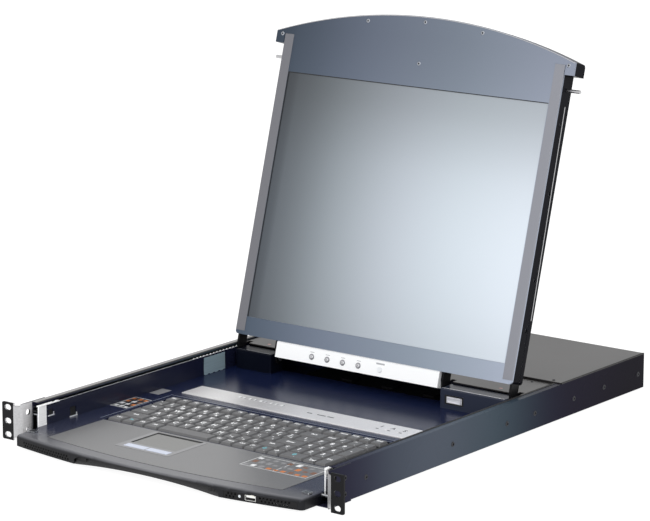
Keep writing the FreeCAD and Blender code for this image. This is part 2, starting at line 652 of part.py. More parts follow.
# ================================================================ tray
def tray_pan():
    """Folded tray: floor, two walls with their windows, and the rear wall."""
    floor = box(-tray_half, tray_half, FRONT_BACK + 1, TRAY_REAR, tray_bottom, tray_bottom + TRAY_SHEET)
    wall = box(tray_inner, tray_half, TRAY_WALL_FRONT, TRAY_REAR, tray_bottom, TRAY_WALL_TOP)
    rear = box(-tray_half, tray_half, TRAY_REAR - TRAY_SHEET, TRAY_REAR, tray_bottom, TRAY_WALL_TOP)
    ledge = box(tray_inner - 6, tray_inner, TRAY_WALL_FRONT, DECK_REAR, deck_under - TRAY_SHEET, deck_under)
    pan = fuse([floor, wall, mirrored(wall), rear, ledge, mirrored(ledge)])
    for y0, y1, z0, z1 in TRAY_WINDOWS:
        window = box(tray_inner - 1, tray_half + 1, y0, y1, z0, z1)
        pan = pan.cut(window).cut(mirrored(window))
    return pan


TRAY_WINDOWS = ((32.0, 40.0, 4.0, 10.5), (68.5, 78.5, -4.8, 5.8))


def front_bracket():
    """Bright bracket at the front of the right slide; it carries on the line of the tray wall."""
    plate = box(tray_inner, tray_half, SLIDE_FRONT, TRAY_WALL_FRONT, deck_under - 3, TRAY_WALL_TOP + 0.8)
    turn = box(tray_half, tray_half + 1.8, SLIDE_FRONT, TRAY_WALL_FRONT + 8, TRAY_WALL_TOP - 0.4,
               TRAY_WALL_TOP + 0.8)
    return fuse([plate, turn])


# ================================================================ front moulding
bow_radius = (FRONT_HALF ** 2 + FRONT_BOW ** 2) / (2 * FRONT_BOW)
bow_centre = Vector(0, bow_radius - FRONT_REACH, 0)


def bow_y(x, inset=0.0):
    """Y of the bowed front, or of a surface that far behind it, at a place across the width."""
    return bow_centre.y - math.sqrt((bow_radius - inset) ** 2 - x ** 2)


def front_plan(inset, back, z, half=FRONT_HALF):
    """Flat face of the front moulding seen from above, moved in from its outline."""
    side = half - inset
    left = Vector(-side, bow_y(side, inset), z)
    middle = Vector(0, bow_y(0, inset), z)
    right = Vector(side, bow_y(side, inset), z)
    bow = Part.Arc(left, middle, right).toShape()
    back_left = Vector(-side, back, z)
    back_right = Vector(side, back, z)
    rest = Part.makePolygon([right, back_right, back_left, left])
    return Part.Face(Part.Wire([bow] + rest.Edges))


def through_points(*points):
    return Part.Arc(*[Vector(*p) for p in points]).toShape()


def grip_window(y0, y1):
    """The finger grip's outline seen from the front: shallow arch, steep shoulders, open below."""
    end, shoulder = GRIP_HALF, GRIP_SHOULDER
    bend_x = shoulder + 0.62 * (end - shoulder)
    bend_z = GRIP_END_TOP + 0.66 * (GRIP_SHOULDER_TOP - GRIP_END_TOP)
    low = FRONT_BOTTOM - 1
    edges = [through_points((-end, y0, GRIP_END_TOP), (-bend_x, y0, bend_z), (-shoulder, y0, GRIP_SHOULDER_TOP)),
             through_points((-shoulder, y0, GRIP_SHOULDER_TOP), (0, y0, GRIP_MID_TOP),
                            (shoulder, y0, GRIP_SHOULDER_TOP)),
             through_points((shoulder, y0, GRIP_SHOULDER_TOP), (bend_x, y0, bend_z), (end, y0, GRIP_END_TOP))]
    edges += Part.makePolygon([Vector(end, y0, GRIP_END_TOP), Vector(end, y0, low), Vector(-end, y0, low),
                               Vector(-end, y0, GRIP_END_TOP)]).Edges
    return Part.Face(Part.Wire(edges)).extrude(Vector(0, y1 - y0, 0))


def grip_underside(y0, y1):
    """What is taken away below the grip, so that its lower edge is arched."""
    end = GRIP_HALF + 1
    low = FRONT_BOTTOM - 5
    edges = [through_points((-end, y0, FRONT_BOTTOM), (0, y0, GRIP_MID_BOTTOM), (end, y0, FRONT_BOTTOM))]
    edges += Part.makePolygon([Vector(end, y0, FRONT_BOTTOM), Vector(end, y0, low), Vector(-end, y0, low),
                               Vector(-end, y0, FRONT_BOTTOM)]).Edges
    return Part.Face(Part.Wire(edges)).extrude(Vector(0, y1 - y0, 0))


def ring(x0, x1, inset0, inset1, z0, z1):
    """A piece of the bowed front between two places across the width and two depths."""
    profile = Part.Face(Part.makePolygon([Vector(0, bow_y(0, inset0), z0), Vector(0, bow_y(0, inset1), z0),
                                          Vector(0, bow_y(0, inset1), z1), Vector(0, bow_y(0, inset0), z1),
                                          Vector(0, bow_y(0, inset0), z0)]))
    start = math.degrees(math.asin(x0 / bow_radius))
    end = math.degrees(math.asin(x1 / bow_radius))
    profile.rotate(bow_centre, Z_AXIS, start)
    return profile.revolve(bow_centre, Z_AXIS, end - start)


def keyboard_deck():
    """Painted deck with the bowed front wall, grip window, grille pockets and all openings in the top."""
    high = DECK_TOP - FRONT_BOTTOM
    block = front_plan(0, FRONT_BACK, FRONT_BOTTOM).extrude(Vector(0, 0, high))
    corners = edges_along(block, Z_AXIS, lambda p: p.y < 0)
    block = block.makeFillet(FRONT_CORNER_R, corners)
    top_front = [e for e in block.Edges if e.BoundBox.ZMin > DECK_TOP - 0.01 and e.CenterOfMass.y < FRONT_BACK - 1]
    block = block.makeFillet(FRONT_EDGE_R, top_front)
    hollow = front_plan(FRONT_WALL, FRONT_BACK + 1, FRONT_BOTTOM - 1).extrude(Vector(0, 0, high + 1 - DECK_THICK))
    block = block.cut(hollow)
    plate = box(-deck_half, deck_half, FRONT_BACK - 0.01, DECK_REAR, deck_under, DECK_TOP)
    deck = fuse([block, plate])

    deck = deck.cut(grip_window(-FRONT_REACH - 5, 0))
    for side in (-1, 1):
        x0, x1 = sorted((side * GRILLE_INNER, side * GRILLE_OUTER))
        deck = deck.cut(ring(x0, x1, -1, GRILLE_SHEET, GRILLE_BOTTOM, GRILLE_TOP))
        deck = deck.cut(ring(x0 + GRILLE_SEAT, x1 - GRILLE_SEAT, -1, FRONT_WALL + 1, GRILLE_BOTTOM + GRILLE_SEAT, GRILLE_TOP - GRILLE_SEAT))

    deck = deck.cut(palm_face(0, DECK_TOP - PALM_RECESS).extrude(Vector(0, 0, 5)))
    left, right, front, back = PAD_FRAME
    deck = deck.cut(box(left + 2, right - 2, front + 2, back - 2, deck_under - 1, DECK_TOP))
    away, wide, high = KEY_RIM
    rim = well(away + wide, DECK_TOP - 0.5, DECK_TOP + high).cut(well(away, DECK_TOP - 1, DECK_TOP + 1))
    rim = rim.cut(box(-deck_half, deck_half, 0, WELL_FRONT, DECK_TOP - 1, DECK_TOP + 1))
    deck = deck.fuse(rim).cut(well(0, deck_under - 1, DECK_TOP + 1))
    for side in (-1, 1):                            # slot that the catch's stem slides in
        x0, x1 = sorted((side * (CATCH_X - 2.5), side * (CATCH_X + 2.5 + CATCH_TRAVEL)))
        deck = deck.cut(box(x0, x1, CATCH_Y - 1.8, CATCH_Y + 1.8, deck_under - 1, DECK_TOP + 1))
        x0, x1 = sorted((side * (FRONT_HALF - FRONT_WALL - 1), side * (FRONT_HALF + 1)))
        deck = deck.cut(rod(CATCH_BOLT_R + 0.4, (x0, CATCH_BOLT_Y, CATCH_BOLT_Z), (x1, CATCH_BOLT_Y, CATCH_BOLT_Z)))
    return deck


def well(grow, z0, z1):
    """The keyboard's well, or a block that many millimetres larger all round."""
    return box(WELL_LEFT - grow, WELL_RIGHT + grow, WELL_FRONT - grow, WELL_REAR + grow, z0, z1)


def palm_face(inset, z):
    """Plan of the palm rest: a bowed front edge and a straight back one at the keyboard."""
    side = PALM_HALF - inset
    front = PALM_FRONT + inset
    radius = (PALM_HALF ** 2 + PALM_BOW ** 2) / (2 * PALM_BOW) - inset
    end_y = front + radius - math.sqrt(radius ** 2 - side ** 2)
    bow = Part.Arc(Vector(-side, end_y, z), Vector(0, front, z), Vector(side, end_y, z)).toShape()
    back = WELL_FRONT - 2.0 - inset
    rest = Part.makePolygon([Vector(side, end_y, z), Vector(side, back, z), Vector(-side, back, z),
                             Vector(-side, end_y, z)])
    return Part.Face(Part.Wire([bow] + rest.Edges))


def palm_rest():
    """Brushed palm plate, set in its shallow recess with a groove all round."""
    z0 = DECK_TOP - PALM_RECESS
    plate = palm_face(PALM_GROOVE, z0).extrude(Vector(0, 0, PALM_RECESS + PALM_PROUD))
    left, right, front, back = PAD_FRAME
    opening = box(left - 0.2, right + 0.2, front - 0.2, back + 0.2, z0 - 1, DECK_TOP + 1)
    opening = opening.makeFillet(2.0, edges_along(opening, Z_AXIS))
    return plate.cut(opening)


def grip_insert():
    """Dark insert behind the grip window: it curves back from its lower lip up to a deep top."""
    front = bow_y(0, 0.4)
    back = bow_y(0, GRIP_DEPTH)
    low = FRONT_BOTTOM
    top = deck_under - 0.1
    lip = Vector(0, front, low + 0.8)
    roof = Vector(0, back, top)
    curve = Part.Arc(roof, Vector(0, front + 0.55 * (back - front), low + 5.0), lip).toShape()
    outline = Part.makePolygon([lip, Vector(0, front, low), Vector(0, back + 1.6, low), Vector(0, back + 1.6, top),
                                roof])
    profile = Part.Face(Part.Wire(Part.__sortEdges__(outline.Edges + [curve])))
    turn = math.degrees(math.asin((GRIP_HALF - 0.3) / bow_radius))
    profile.rotate(bow_centre, Z_AXIS, -turn)
    insert = profile.revolve(bow_centre, Z_AXIS, 2 * turn)
    return insert.cut(grip_underside(-FRONT_REACH - 5, -FRONT_REACH + FRONT_BOW))


def front_grille(side):
    """Perforated insert at one end of the front; the right one also holds the port and the lamp."""
    x0, x1 = sorted((side * (GRILLE_INNER + 0.2), side * (GRILLE_OUTER - 0.2)))
    sheet = ring(x0, x1, 0.2, GRILLE_SHEET - 0.05, GRILLE_BOTTOM + 0.2, GRILLE_TOP - 0.2)
    cutters = []
    rows = (GRILLE_BOTTOM + GRILLE_ROW, GRILLE_TOP - GRILLE_ROW)
    count = int((GRILLE_OUTER - GRILLE_INNER - 8) / GRILLE_PITCH)
    for row, z in enumerate(rows):
        for n in range(count):
            x = side * (GRILLE_INNER + 4 + GRILLE_PITCH * (n + 0.5 * row))
            if side > 0 and LED_X - 5 < x < USB_X + USB_WIDTH / 2 + 4:
                continue
            cutters.append(front_hole(x, z, GRILLE_HOLE, GRILLE_HOLE))
    if side > 0:
        cutters.append(front_hole(USB_X, USB_Z, USB_WIDTH + 0.4, USB_HEIGHT + 0.4))
        cutters.append(turned(rod(LED_R + 0.1, (0, bow_y(0, -1), USB_Z), (0, bow_y(0, 4), USB_Z)), LED_X))
    return sheet.cut(cutters)


def turned(shape, x):
    """Swing a piece made at the middle of the bow round to its place across the width."""
    shape.rotate(bow_centre, Z_AXIS, math.degrees(math.asin(x / bow_radius)))
    return shape


def front_hole(x, z, wide, high):
    return turned(box(-wide / 2, wide / 2, bow_y(0, -1), bow_y(0, 5), z - high / 2, z + high / 2), x)


def front_usb_port():
    """Type A receptacle: a folded steel shell, open to the front, with its tongue."""
    half_w, half_h = USB_WIDTH / 2, USB_HEIGHT / 2
    y0 = bow_y(0, -0.1)
    y1 = y0 + USB_LENGTH
    shell = box(-half_w, half_w, y0, y1, USB_Z - half_h, USB_Z + half_h)
    shell = shell.cut(box(-half_w + 0.4, half_w - 0.4, y0 - 1, y1 - 1, USB_Z - half_h + 0.4, USB_Z + half_h - 0.4))
    tongue = box(-half_w + 1.2, half_w - 1.2, y0 + 1, y1 - 1, USB_Z + 0.2, USB_Z + half_h - 0.9)
    foot = box(-half_w, half_w, y1 - 5, y1, USB_Z + half_h - 0.4, deck_under)
    return turned(fuse([shell, tongue, foot]), USB_X)


def power_led():
    """Clear lens of the power lamp, with its light guide."""
    y0 = bow_y(0, -0.4)
    lens = rod(LED_R, (0, y0, USB_Z), (0, y0 + 9, USB_Z))
    lens = lens.makeChamfer(0.6, [e for e in lens.Edges if e.CenterOfMass.y < y0 + 0.1])
    return turned(lens, LED_X)


# ================================================================ keyboard
def key_rows():
    """Plan of every key: (name, x0, x1, y0, y1)."""
    left = KEY_CENTRE - 19 * KEY_UNIT / 2
    first = WELL_FRONT + KEY_MARGIN
    keys = []

    def add_row(row, names_widths, start=0.0):
        at = start
        for name, width in names_widths:
            if name:
                keys.append((name, left + at * KEY_UNIT, left + (at + width) * KEY_UNIT,
                             first + row * KEY_ROW, first + (row + 1) * KEY_ROW))
            at += width

    plain = [("key", 1.0)]
    add_row(0, [("key", 1.25)] + plain * 2 + [("key", 1.25), ("space", 4.5)] + plain * 6)
    add_row(1, [("key", 2.25)] + plain * 10 + [("key", 1.75)] + plain)
    add_row(2, [("key", 1.75)] + plain * 11 + [("enter", 2.25)])
    add_row(3, [("key", 1.5)] + plain * 12 + [("key", 1.5)])
    add_row(4, plain * 13 + [("key", 2.0)])
    pad = 15.0
    add_row(0, [("key", 2.0), ("key", 1.0)], pad)
    for row in (1, 2, 3):
        add_row(row, plain * 3, pad)
    add_row(4, plain * 4, pad)
    for row in (0, 2):                              # two keys of the number pad are two rows deep
        keys.append(("key", left + 18 * KEY_UNIT, left + 19 * KEY_UNIT, first + row * KEY_ROW,
                     first + (row + 2) * KEY_ROW))
    y0 = first + 5 * KEY_ROW + FUNCTION_GAP
    pitch = 19 * KEY_UNIT / FUNCTION_KEYS
    for n in range(FUNCTION_KEYS):
        keys.append(("key", left + n * pitch, left + (n + 1) * pitch, y0, y0 + FUNCTION_ROW))
    return keys


key_under = KEY_TOP - KEY_HEIGHT
frame_top = key_under - KEY_TRAVEL - 0.1


def keycap(x0, x1, y0, y1, stem_end):
    """A tapered cap on a square stem."""
    x0, x1, y0, y1 = x0 + KEY_GAP / 2, x1 - KEY_GAP / 2, y0 + KEY_GAP / 2, y1 - KEY_GAP / 2
    cap = tapered(x0, x1, y0, y1)
    x, y = (x0 + x1) / 2, (y0 + y1) / 2
    stem = box(x - KEY_STEM / 2, x + KEY_STEM / 2, y - KEY_STEM / 2, y + KEY_STEM / 2, stem_end, key_under)
    return fuse([cap, stem])


def tapered(x0, x1, y0, y1):
    low = Part.makePolygon([Vector(x0, y0, key_under), Vector(x1, y0, key_under), Vector(x1, y1, key_under),
                            Vector(x0, y1, key_under), Vector(x0, y0, key_under)])
    i, j = KEY_TAPER, KEY_TAPER / 2
    high = Part.makePolygon([Vector(x0 + i, y0 + i, KEY_TOP), Vector(x1 - i, y0 + i, KEY_TOP),
                             Vector(x1 - i, y1 - j, KEY_TOP), Vector(x0 + i, y1 - j, KEY_TOP),
                             Vector(x0 + i, y0 + i, KEY_TOP)])
    return Part.makeLoft([low, high], True, True)


def keyboard_frame():
    """Black carrier plate under the keys, screwed up under the deck, with guides for the moving stems."""
    thick = 2.4
    front = box(-deck_half, deck_half, 0, WELL_FRONT - 1.5, frame_top - thick - 1, deck_under + 1)
    plate = well(5, frame_top - thick, frame_top).cut(front)
    rim = well(5, frame_top, deck_under).cut(front).cut(well(0, frame_top - 1, deck_under + 1))
    plate = fuse([plate, rim])
    for name, x0, x1, y0, y1 in key_rows():
        if name != "key":
            x, y, half = (x0 + x1) / 2, (y0 + y1) / 2, KEY_STEM / 2 + 0.2
            plate = plate.cut(box(x - half, x + half, y - half, y + half, frame_top - thick - 1, frame_top + 1))
    return plate


# ================================================================ touchpad and label strip
def touchpad_frame():
    left, right, front, back = PAD_FRAME
    frame = box(left, right, front, back, DECK_TOP - PALM_RECESS, DECK_TOP + PAD_FRAME_PROUD)
    frame = frame.makeFillet(1.8, edges_along(frame, Z_AXIS))
    pan = box(left + 2.2, right - 2.2, front + 2.2, back - 2.2, deck_under - 1.5, DECK_TOP - PALM_RECESS)
    frame = fuse([frame, pan])
    x0, x1, y0, y1 = PAD_AREA
    frame = frame.cut(box(x0, x1, y0, y1, DECK_TOP - 0.7, DECK_TOP + 2))
    b0, b1 = PAD_BUTTONS_FRONT, PAD_BUTTONS_FRONT + PAD_BUTTONS_DEPTH
    return frame.cut(box(x0, x1, b0, b1, deck_under, DECK_TOP + 2))


def touchpad_pad():
    x0, x1, y0, y1 = PAD_AREA
    return box(x0 + 0.2, x1 - 0.2, y0 + 0.2, y1 - 0.2, DECK_TOP - 0.7, DECK_TOP + 0.1)


def touchpad_button(side):
    """One of the two buttons under the pad; it rests on its spring dome."""
    x0, x1, y0, y1 = PAD_AREA
    middle = (x0 + x1) / 2
    left, right = (x0 + 0.3, middle - 0.3) if side < 0 else (middle + 0.3, x1 - 0.3)
    b0, b1 = PAD_BUTTONS_FRONT + 0.3, PAD_BUTTONS_FRONT + PAD_BUTTONS_DEPTH - 0.3
    bottom = deck_under + PAD_BUTTON_TRAVEL + 0.1
    button = box(left, right, b0, b1, bottom, DECK_TOP + PAD_FRAME_PROUD + 0.2)
    return button.makeFillet(0.5, edges_along(button, X_AXIS, lambda p: p.z > DECK_TOP))


def label_strip():
    """Bright strip across the deck behind the keyboard, with three lamp windows."""
    strip = box(-STRIP_HALF, STRIP_HALF, STRIP_FRONT, STRIP_REAR, DECK_TOP, DECK_TOP + STRIP_THICK)
    strip = strip.makeFillet(0.6, edges_along(strip, X_AXIS, lambda p: p.z > DECK_TOP + 1))
    for n in range(3):
        x = STRIP_HALF - 52 + 16 * n
        y = (STRIP_FRONT + STRIP_REAR) / 2 - 4
        strip = strip.cut(box(x - 2.2, x + 2.2, y - 1.1, y + 1.1, DECK_TOP + STRIP_THICK - 0.4, DECK_TOP + 5))
    return strip


# ================================================================ hinges
screen_wall_inner = SCREEN_HALF - SCREEN_WALL
ARM_SPANS = (
    (-screen_wall_inner, -screen_wall_inner + ARM_SHEET),
    (BAR_LEFT - ARM_GAP - 1.6 - ARM_SHEET, BAR_LEFT - ARM_GAP - 1.6),
    (BAR_RIGHT + ARM_GAP, BAR_RIGHT + ARM_GAP + ARM_SHEET),
    (screen_wall_inner - ARM_SHEET, screen_wall_inner),
)
LEFT_COVER = (ARM_SPANS[0][1] + ARM_GAP, ARM_SPANS[1][0] - ARM_GAP)
RIGHT_COVER = (ARM_SPANS[2][1] + ARM_GAP, ARM_SPANS[3][0] - ARM_GAP)


def hinge_arm(span):
    """Steel arm: its eye is on the hinge shaft and its blade runs up inside the screen."""
    x0, x1 = span
    eye = rod(ARM_EYE_R, (x0, 0, 0), (x1, 0, 0))
    step = GLASS_BOTTOM - 5 - ARM_GAP
    behind = GLASS_RECESS + GLASS_THICK + PANEL_THICK + ARM_GAP
    profile = ((-HINGE_BELOW, HINGE_BEHIND - ARM_EYE_R), (-9, ARM_FRONT), (step, ARM_FRONT), (step, behind),
               (ARM_TOP, behind), (ARM_TOP, ARM_BACK), (-9, ARM_BACK), (-HINGE_BELOW, HINGE_BEHIND + ARM_EYE_R))
    blade = prism([tuple(screen_point(x0, s, d)) for s, d in profile], (x1 - x0, 0, 0))
    arm = fuse([eye, blade])
    return raised(arm.cut(rod(SHAFT_R + 0.02, (x0 - 1, 0, 0), (x1 + 1, 0, 0))))


def hinge_shaft(left, right):
    return raised(rod(SHAFT_R, (left - 1.0, 0, 0), (right + 1.0, 0, 0)))


def friction_hinge(span):
    """Friction barrel round the shaft, on a foot that is screwed to the deck."""
    x0, x1 = span[0] + 8, span[1] - 8
    barrel = rod(BARREL_R, (x0, HINGE_Y, HINGE_Z), (x1, HINGE_Y, HINGE_Z))
    web = box(x0, x1, HINGE_Y - BARREL_R, HINGE_Y + BARREL_R, DECK_TOP, HINGE_Z)
    foot = box(x0, x1, HINGE_Y - 9, HINGE_Y + 7, DECK_TOP, DECK_TOP + 2.5)
    block = fuse([barrel, web, foot])
    return block.cut(rod(SHAFT_R + SHAFT_FIT, (x0 - 1, HINGE_Y, HINGE_Z), (x1 + 1, HINGE_Y, HINGE_Z)))


def hinge_cover(span, port):
    """Moulded cover over a friction hinge, open below; the right one holds the service port."""
    x0, x1 = span
    cover = box(x0, x1, COVER_FRONT, COVER_REAR, DECK_TOP, COVER_TOP)
    cover = cover.makeFillet(1.6, edges_along(cover, X_AXIS, lambda p: p.z > 0))
    cover = cover.makeFillet(1.2, edges_along(cover, Z_AXIS))
    w = COVER_WALL
    cover = cover.cut(box(x0 + w, x1 - w, COVER_FRONT + w, COVER_REAR - w, DECK_TOP - 1, COVER_TOP - w))
    cover = cover.cut(rod(SHAFT_R + 1, (x0 - 1, HINGE_Y, HINGE_Z), (x1 + 1, HINGE_Y, HINGE_Z)))
    if port:
        cover = cover.cut(box(SERVICE_X - 13.2, SERVICE_X + 13.2, COVER_FRONT - 1, COVER_FRONT + 6,
                              SERVICE_Z - 5.6, SERVICE_Z + 5.6))
    return cover


SERVICE_X = BAR_RIGHT + 24.3
SERVICE_Z = 4.8


def service_port():
    """Square service connector in the front of the right hinge cover."""
    y0 = COVER_FRONT + 0.5
    body = box(SERVICE_X - 13, SERVICE_X + 13, y0, y0 + 5, SERVICE_Z - 5.4, SERVICE_Z + 5.4)
    plug = box(SERVICE_X - 9.5, SERVICE_X + 9.5, y0 - 1.8, y0 + 1, SERVICE_Z - 3.2, SERVICE_Z + 3.2)
    plug = plug.cut(box(SERVICE_X - 8.5, SERVICE_X + 8.5, y0 - 3, y0 - 0.8, SERVICE_Z - 2.2, SERVICE_Z + 2.2))
    return fuse([body, plug])


# ================================================================ tray rear bay
COVER_NOTCH = 9.0
REAR_COVER_TOP = 19.6


def tray_rear_cover():
    """Lid behind the hinges, with notches that clear the swinging arms."""
    y0 = COVER_REAR + 1
    lid = box(-tray_half, tray_half, y0, TRAY_REAR, REAR_COVER_TOP - TRAY_SHEET, REAR_COVER_TOP)
    skirt = box(tray_half - TRAY_SHEET, tray_half, y0 + 1, TRAY_REAR, TRAY_WALL_TOP, REAR_COVER_TOP)
    lid = fuse([lid, skirt, mirrored(skirt)])
    for x0, x1 in ARM_SPANS:
        lid = lid.cut(box(x0 - 2, x1 + 2, y0 - 1, y0 + COVER_NOTCH, 0, 30))
    return lid


def controller_board():
    """Screen and keyboard controller, on pillars on the tray floor."""
    z0 = tray_bottom + TRAY_SHEET
    z1 = z0 + 5
    half = tray_half - 83.5
    board = box(-half, half, DECK_REAR + 6, TRAY_REAR - 8, z1, z1 + BOARD_THICK)
    pillars = [box(x - 3, x + 3, y - 3, y + 3, z0, z1) for x in (8 - half, half - 8)
               for y in (DECK_REAR + 12, TRAY_REAR - 14)]
    chips = [box(x - 8, x + 8, DECK_REAR + 18, DECK_REAR + 34, z1 + BOARD_THICK, z1 + 2.4 + BOARD_THICK)
             for x in (-half / 2, 0, half / 2)]
    return fuse([board] + pillars + chips)


# ================================================================ screen
def screen_outline(inset, d):
    """Front view of the screen: straight body, wings, and the arched handle on top."""
    radius = (HANDLE_HALF ** 2 + HANDLE_SAG ** 2) / (2 * HANDLE_SAG)
    centre_s = HANDLE_APEX - radius
    wing = HANDLE_HALF - inset
    body = SCREEN_HALF - inset
    wing_top = centre_s + math.sqrt((radius - inset) ** 2 - wing ** 2)
    under = SCREEN_BODY + inset
    corner = SCREEN_CORNER_R - inset if SCREEN_CORNER_R > inset else 0.2
    cut = corner * (1 - math.sqrt(0.5))
    low = inset
    right = [Part.Arc(screen_point(body - corner, low, d), screen_point(body - cut, low + cut, d),
                      screen_point(body, low + corner, d)).toShape()]
    right += Part.makePolygon([screen_point(body, low + corner, d), screen_point(body, under, d),
                               screen_point(wing, under, d), screen_point(wing, wing_top, d)]).Edges
    top = Part.Arc(screen_point(wing, wing_top, d), screen_point(0, HANDLE_APEX - inset, d),
                   screen_point(-wing, wing_top, d)).toShape()
    left = [e.mirror(Vector(0, 0, 0), X_AXIS) for e in right]
    bottom = Part.makeLine(screen_point(-body + corner, low, d), screen_point(body - corner, low, d))
    edges = Part.__sortEdges__(right + [top] + left + [bottom])
    return Part.Face(Part.Wire(edges))


SCREEN_CORNER_R = 4.0
HANDLE_ROUND_FRONT = 1.5
HANDLE_ROUND_REAR = 4.0


def swept(inset, d0, d1):
    return screen_outline(inset, d0).extrude(Vector(0, d1 - d0, 0))


def handle_top_edges(shape, d):
    """The arched upper edge of a screen piece at one depth."""
    return [e for e in shape.Edges if isinstance(e.Curve, Part.Circle) and e.Curve.Radius > 300
            and abs(e.CenterOfMass.y - (d - HINGE_BEHIND)) < 0.01]


def screen_openings(shape, s_top, d0, d1):
    """Cut the slots in the lower edge that the hinge arms pass through."""
    for x0, x1 in ARM_SPANS:
        shape = shape.cut(upright(x0 - 0.2, x1 + 0.2, -1, s_top, d0, d1))
    return shape


def lcd_bezel():
    """Metallic front plate: it runs round the glass and up into the arched handle."""
    bezel = swept(0, 0, SCREEN_FACE)
    bezel = bezel.makeFillet(HANDLE_ROUND_FRONT, handle_top_edges(bezel, 0))
    gap = GLASS_GAP
    bezel = bezel.cut(upright(-GLASS_HALF - gap, GLASS_HALF + gap, GLASS_BOTTOM - gap, GLASS_TOP + gap, -1, 6))
    pocket = STRIP_BAND_THICK - STRIP_BAND_PROUD
    for side in (-1, 1):
        x0, x1 = sorted((side * (SCREEN_HALF - STRIP_BAND), side * (SCREEN_HALF + 1)))
        bezel = bezel.cut(upright(x0, x1, STRIP_BAND_LOW, STRIP_BAND_TOP, -1, pocket))
    return raised(bezel.cut(lcd_screw_holes()))


def lcd_frame():
    """Black frame behind the front plate: the walls of the screen, with the blocks for the lock pins."""
    frame = swept(0, SCREEN_FACE, SCREEN_SEAM).cut(swept(SCREEN_WALL, SCREEN_FACE - 1, SCREEN_SEAM + 1))
    guides = []
    for side in (-1, 1):
        x0, x1 = sorted((side * PIN_GUIDE_X, side * (SCREEN_HALF - SCREEN_WALL / 2)))
        guides.append(upright(x0, x1, PIN_S - 5, PIN_S + 5, SCREEN_FACE, SCREEN_SEAM))
    frame = fuse([frame] + guides)
    for side in (-1, 1):
        frame = frame.cut(pin_rod(PIN_R + PIN_FIT, side * (PIN_GUIDE_X - 31), side * (HANDLE_HALF + 10)))
    frame = screen_openings(frame, SCREEN_CORNER_R + 1, ARM_FRONT - 0.5, SCREEN_SEAM + 1)
    return raised(frame.cut(lcd_screw_holes()))


STRIP_BAND_LOW = 4.5
SCREEN_FACE = GLASS_RECESS + GLASS_THICK


def pin_rod(radius, x0, x1):
    start, end = screen_point(x0, PIN_S, PIN_D), screen_point(x1, PIN_S, PIN_D)
    return rod(radius, tuple(start), tuple(end))


def lcd_rear_shell():
    """Rear cover: it closes the frame behind the mounting plate and carries the vents."""
    seam = SCREEN_SEAM + SCREEN_PLATE
    shell = swept(0, SCREEN_SEAM, SCREEN_THICK)
    shell = shell.makeFillet(HANDLE_ROUND_REAR, handle_top_edges(shell, SCREEN_THICK))
    shell = shell.cut(swept(SCREEN_WALL, SCREEN_SEAM - 1, SCREEN_THICK - SCREEN_WALL))
    half = SCREEN_HALF + 1
    shell = shell.cut(upright(-half, half, -1, PLATE_TOP + 0.3, SCREEN_SEAM - 1, seam))
    shell = screen_openings(shell, SCREEN_CORNER_R + 1, SCREEN_SEAM - 1, ARM_BACK + 0.2)
    for side in (-1, 1):
        shell = shell.cut(pin_rod(PIN_R + PIN_FIT, side * (PIN_GUIDE_X - 31), side * (HANDLE_HALF + 10)))
    vents = []
    for row in (80.0, 250.0):
        for n in range(14):
            x = -104 + 16 * n
            vents.append(upright(x - 1.5, x + 1.5, row, row + 30, SCREEN_SEAM, SCREEN_THICK + 1))
    return raised(shell.cut(vents))


def lcd_side_strips():
    strips = []
    for side in (-1, 1):
        x0, x1 = sorted((side * (SCREEN_HALF - STRIP_BAND + 0.1), side * SCREEN_HALF))
        strip = upright(x0, x1, STRIP_BAND_LOW + 0.1, STRIP_BAND_TOP - 0.1, -STRIP_BAND_PROUD,
                        STRIP_BAND_THICK - STRIP_BAND_PROUD)
        strips.append(raised(strip.makeFillet(0.35, edges_along(strip, Z_AXIS, lambda p: p.y < -HINGE_BEHIND))))
    return strips


def lcd_glass():
    return raised(upright(-GLASS_HALF, GLASS_HALF, GLASS_BOTTOM, GLASS_TOP, GLASS_RECESS,
                          GLASS_RECESS + GLASS_THICK))


def lcd_panel():
    """Liquid-crystal module on its steel mounting plate, with the driver board on the plate's back."""
    d0 = SCREEN_FACE
    module = upright(-GLASS_HALF - 4, GLASS_HALF + 4, GLASS_BOTTOM - 5, GLASS_TOP + 6, d0, d0 + PANEL_THICK)
    plate = swept(PLATE_INSET, SCREEN_SEAM, SCREEN_SEAM + SCREEN_PLATE)
    plate = plate.cut(upright(-HANDLE_HALF - 1, HANDLE_HALF + 1, PLATE_TOP, HANDLE_APEX + 1, 0, SCREEN_THICK))
    for x0, x1 in ARM_SPANS:
        plate = plate.cut(upright(x0 - 0.5, x1 + 0.5, -1, ARM_TOP + 0.5, SCREEN_SEAM - 1, SCREEN_SEAM + 2))
    pads = [upright(x - 8, x + 8, s - 8, s + 8, d0 + PANEL_THICK, SCREEN_SEAM)
            for x in (-GLASS_HALF + 37, GLASS_HALF - 37) for s in (GLASS_BOTTOM + 37, GLASS_TOP - 32)]
    back = SCREEN_SEAM + SCREEN_PLATE
    board = upright(-90, 90, GLASS_BOTTOM + 20, GLASS_BOTTOM + 50, back, back + 3)
    return raised(fuse([module, plate, board] + pads))


WING_SCREW = (HANDLE_HALF - 8.6, SCREEN_BODY + 11.0)
ARCH_SCREW = (82.4, HANDLE_APEX - 12.2)
BEZEL_SCREWS = ((-WING_SCREW[0], WING_SCREW[1]), (-ARCH_SCREW[0], ARCH_SCREW[1]), (0.0, HANDLE_APEX - 6.8),
                ARCH_SCREW, WING_SCREW, (0.5, HANDLE_APEX - 55.9))
SIDE_SCREW_S = (62.8, 120.9, 170.3, 220.2, 299.5)
SIDE_SCREW_D = 11.0
BEZEL_SCREW_R = 2.2
SCREW_SUNK = 0.5


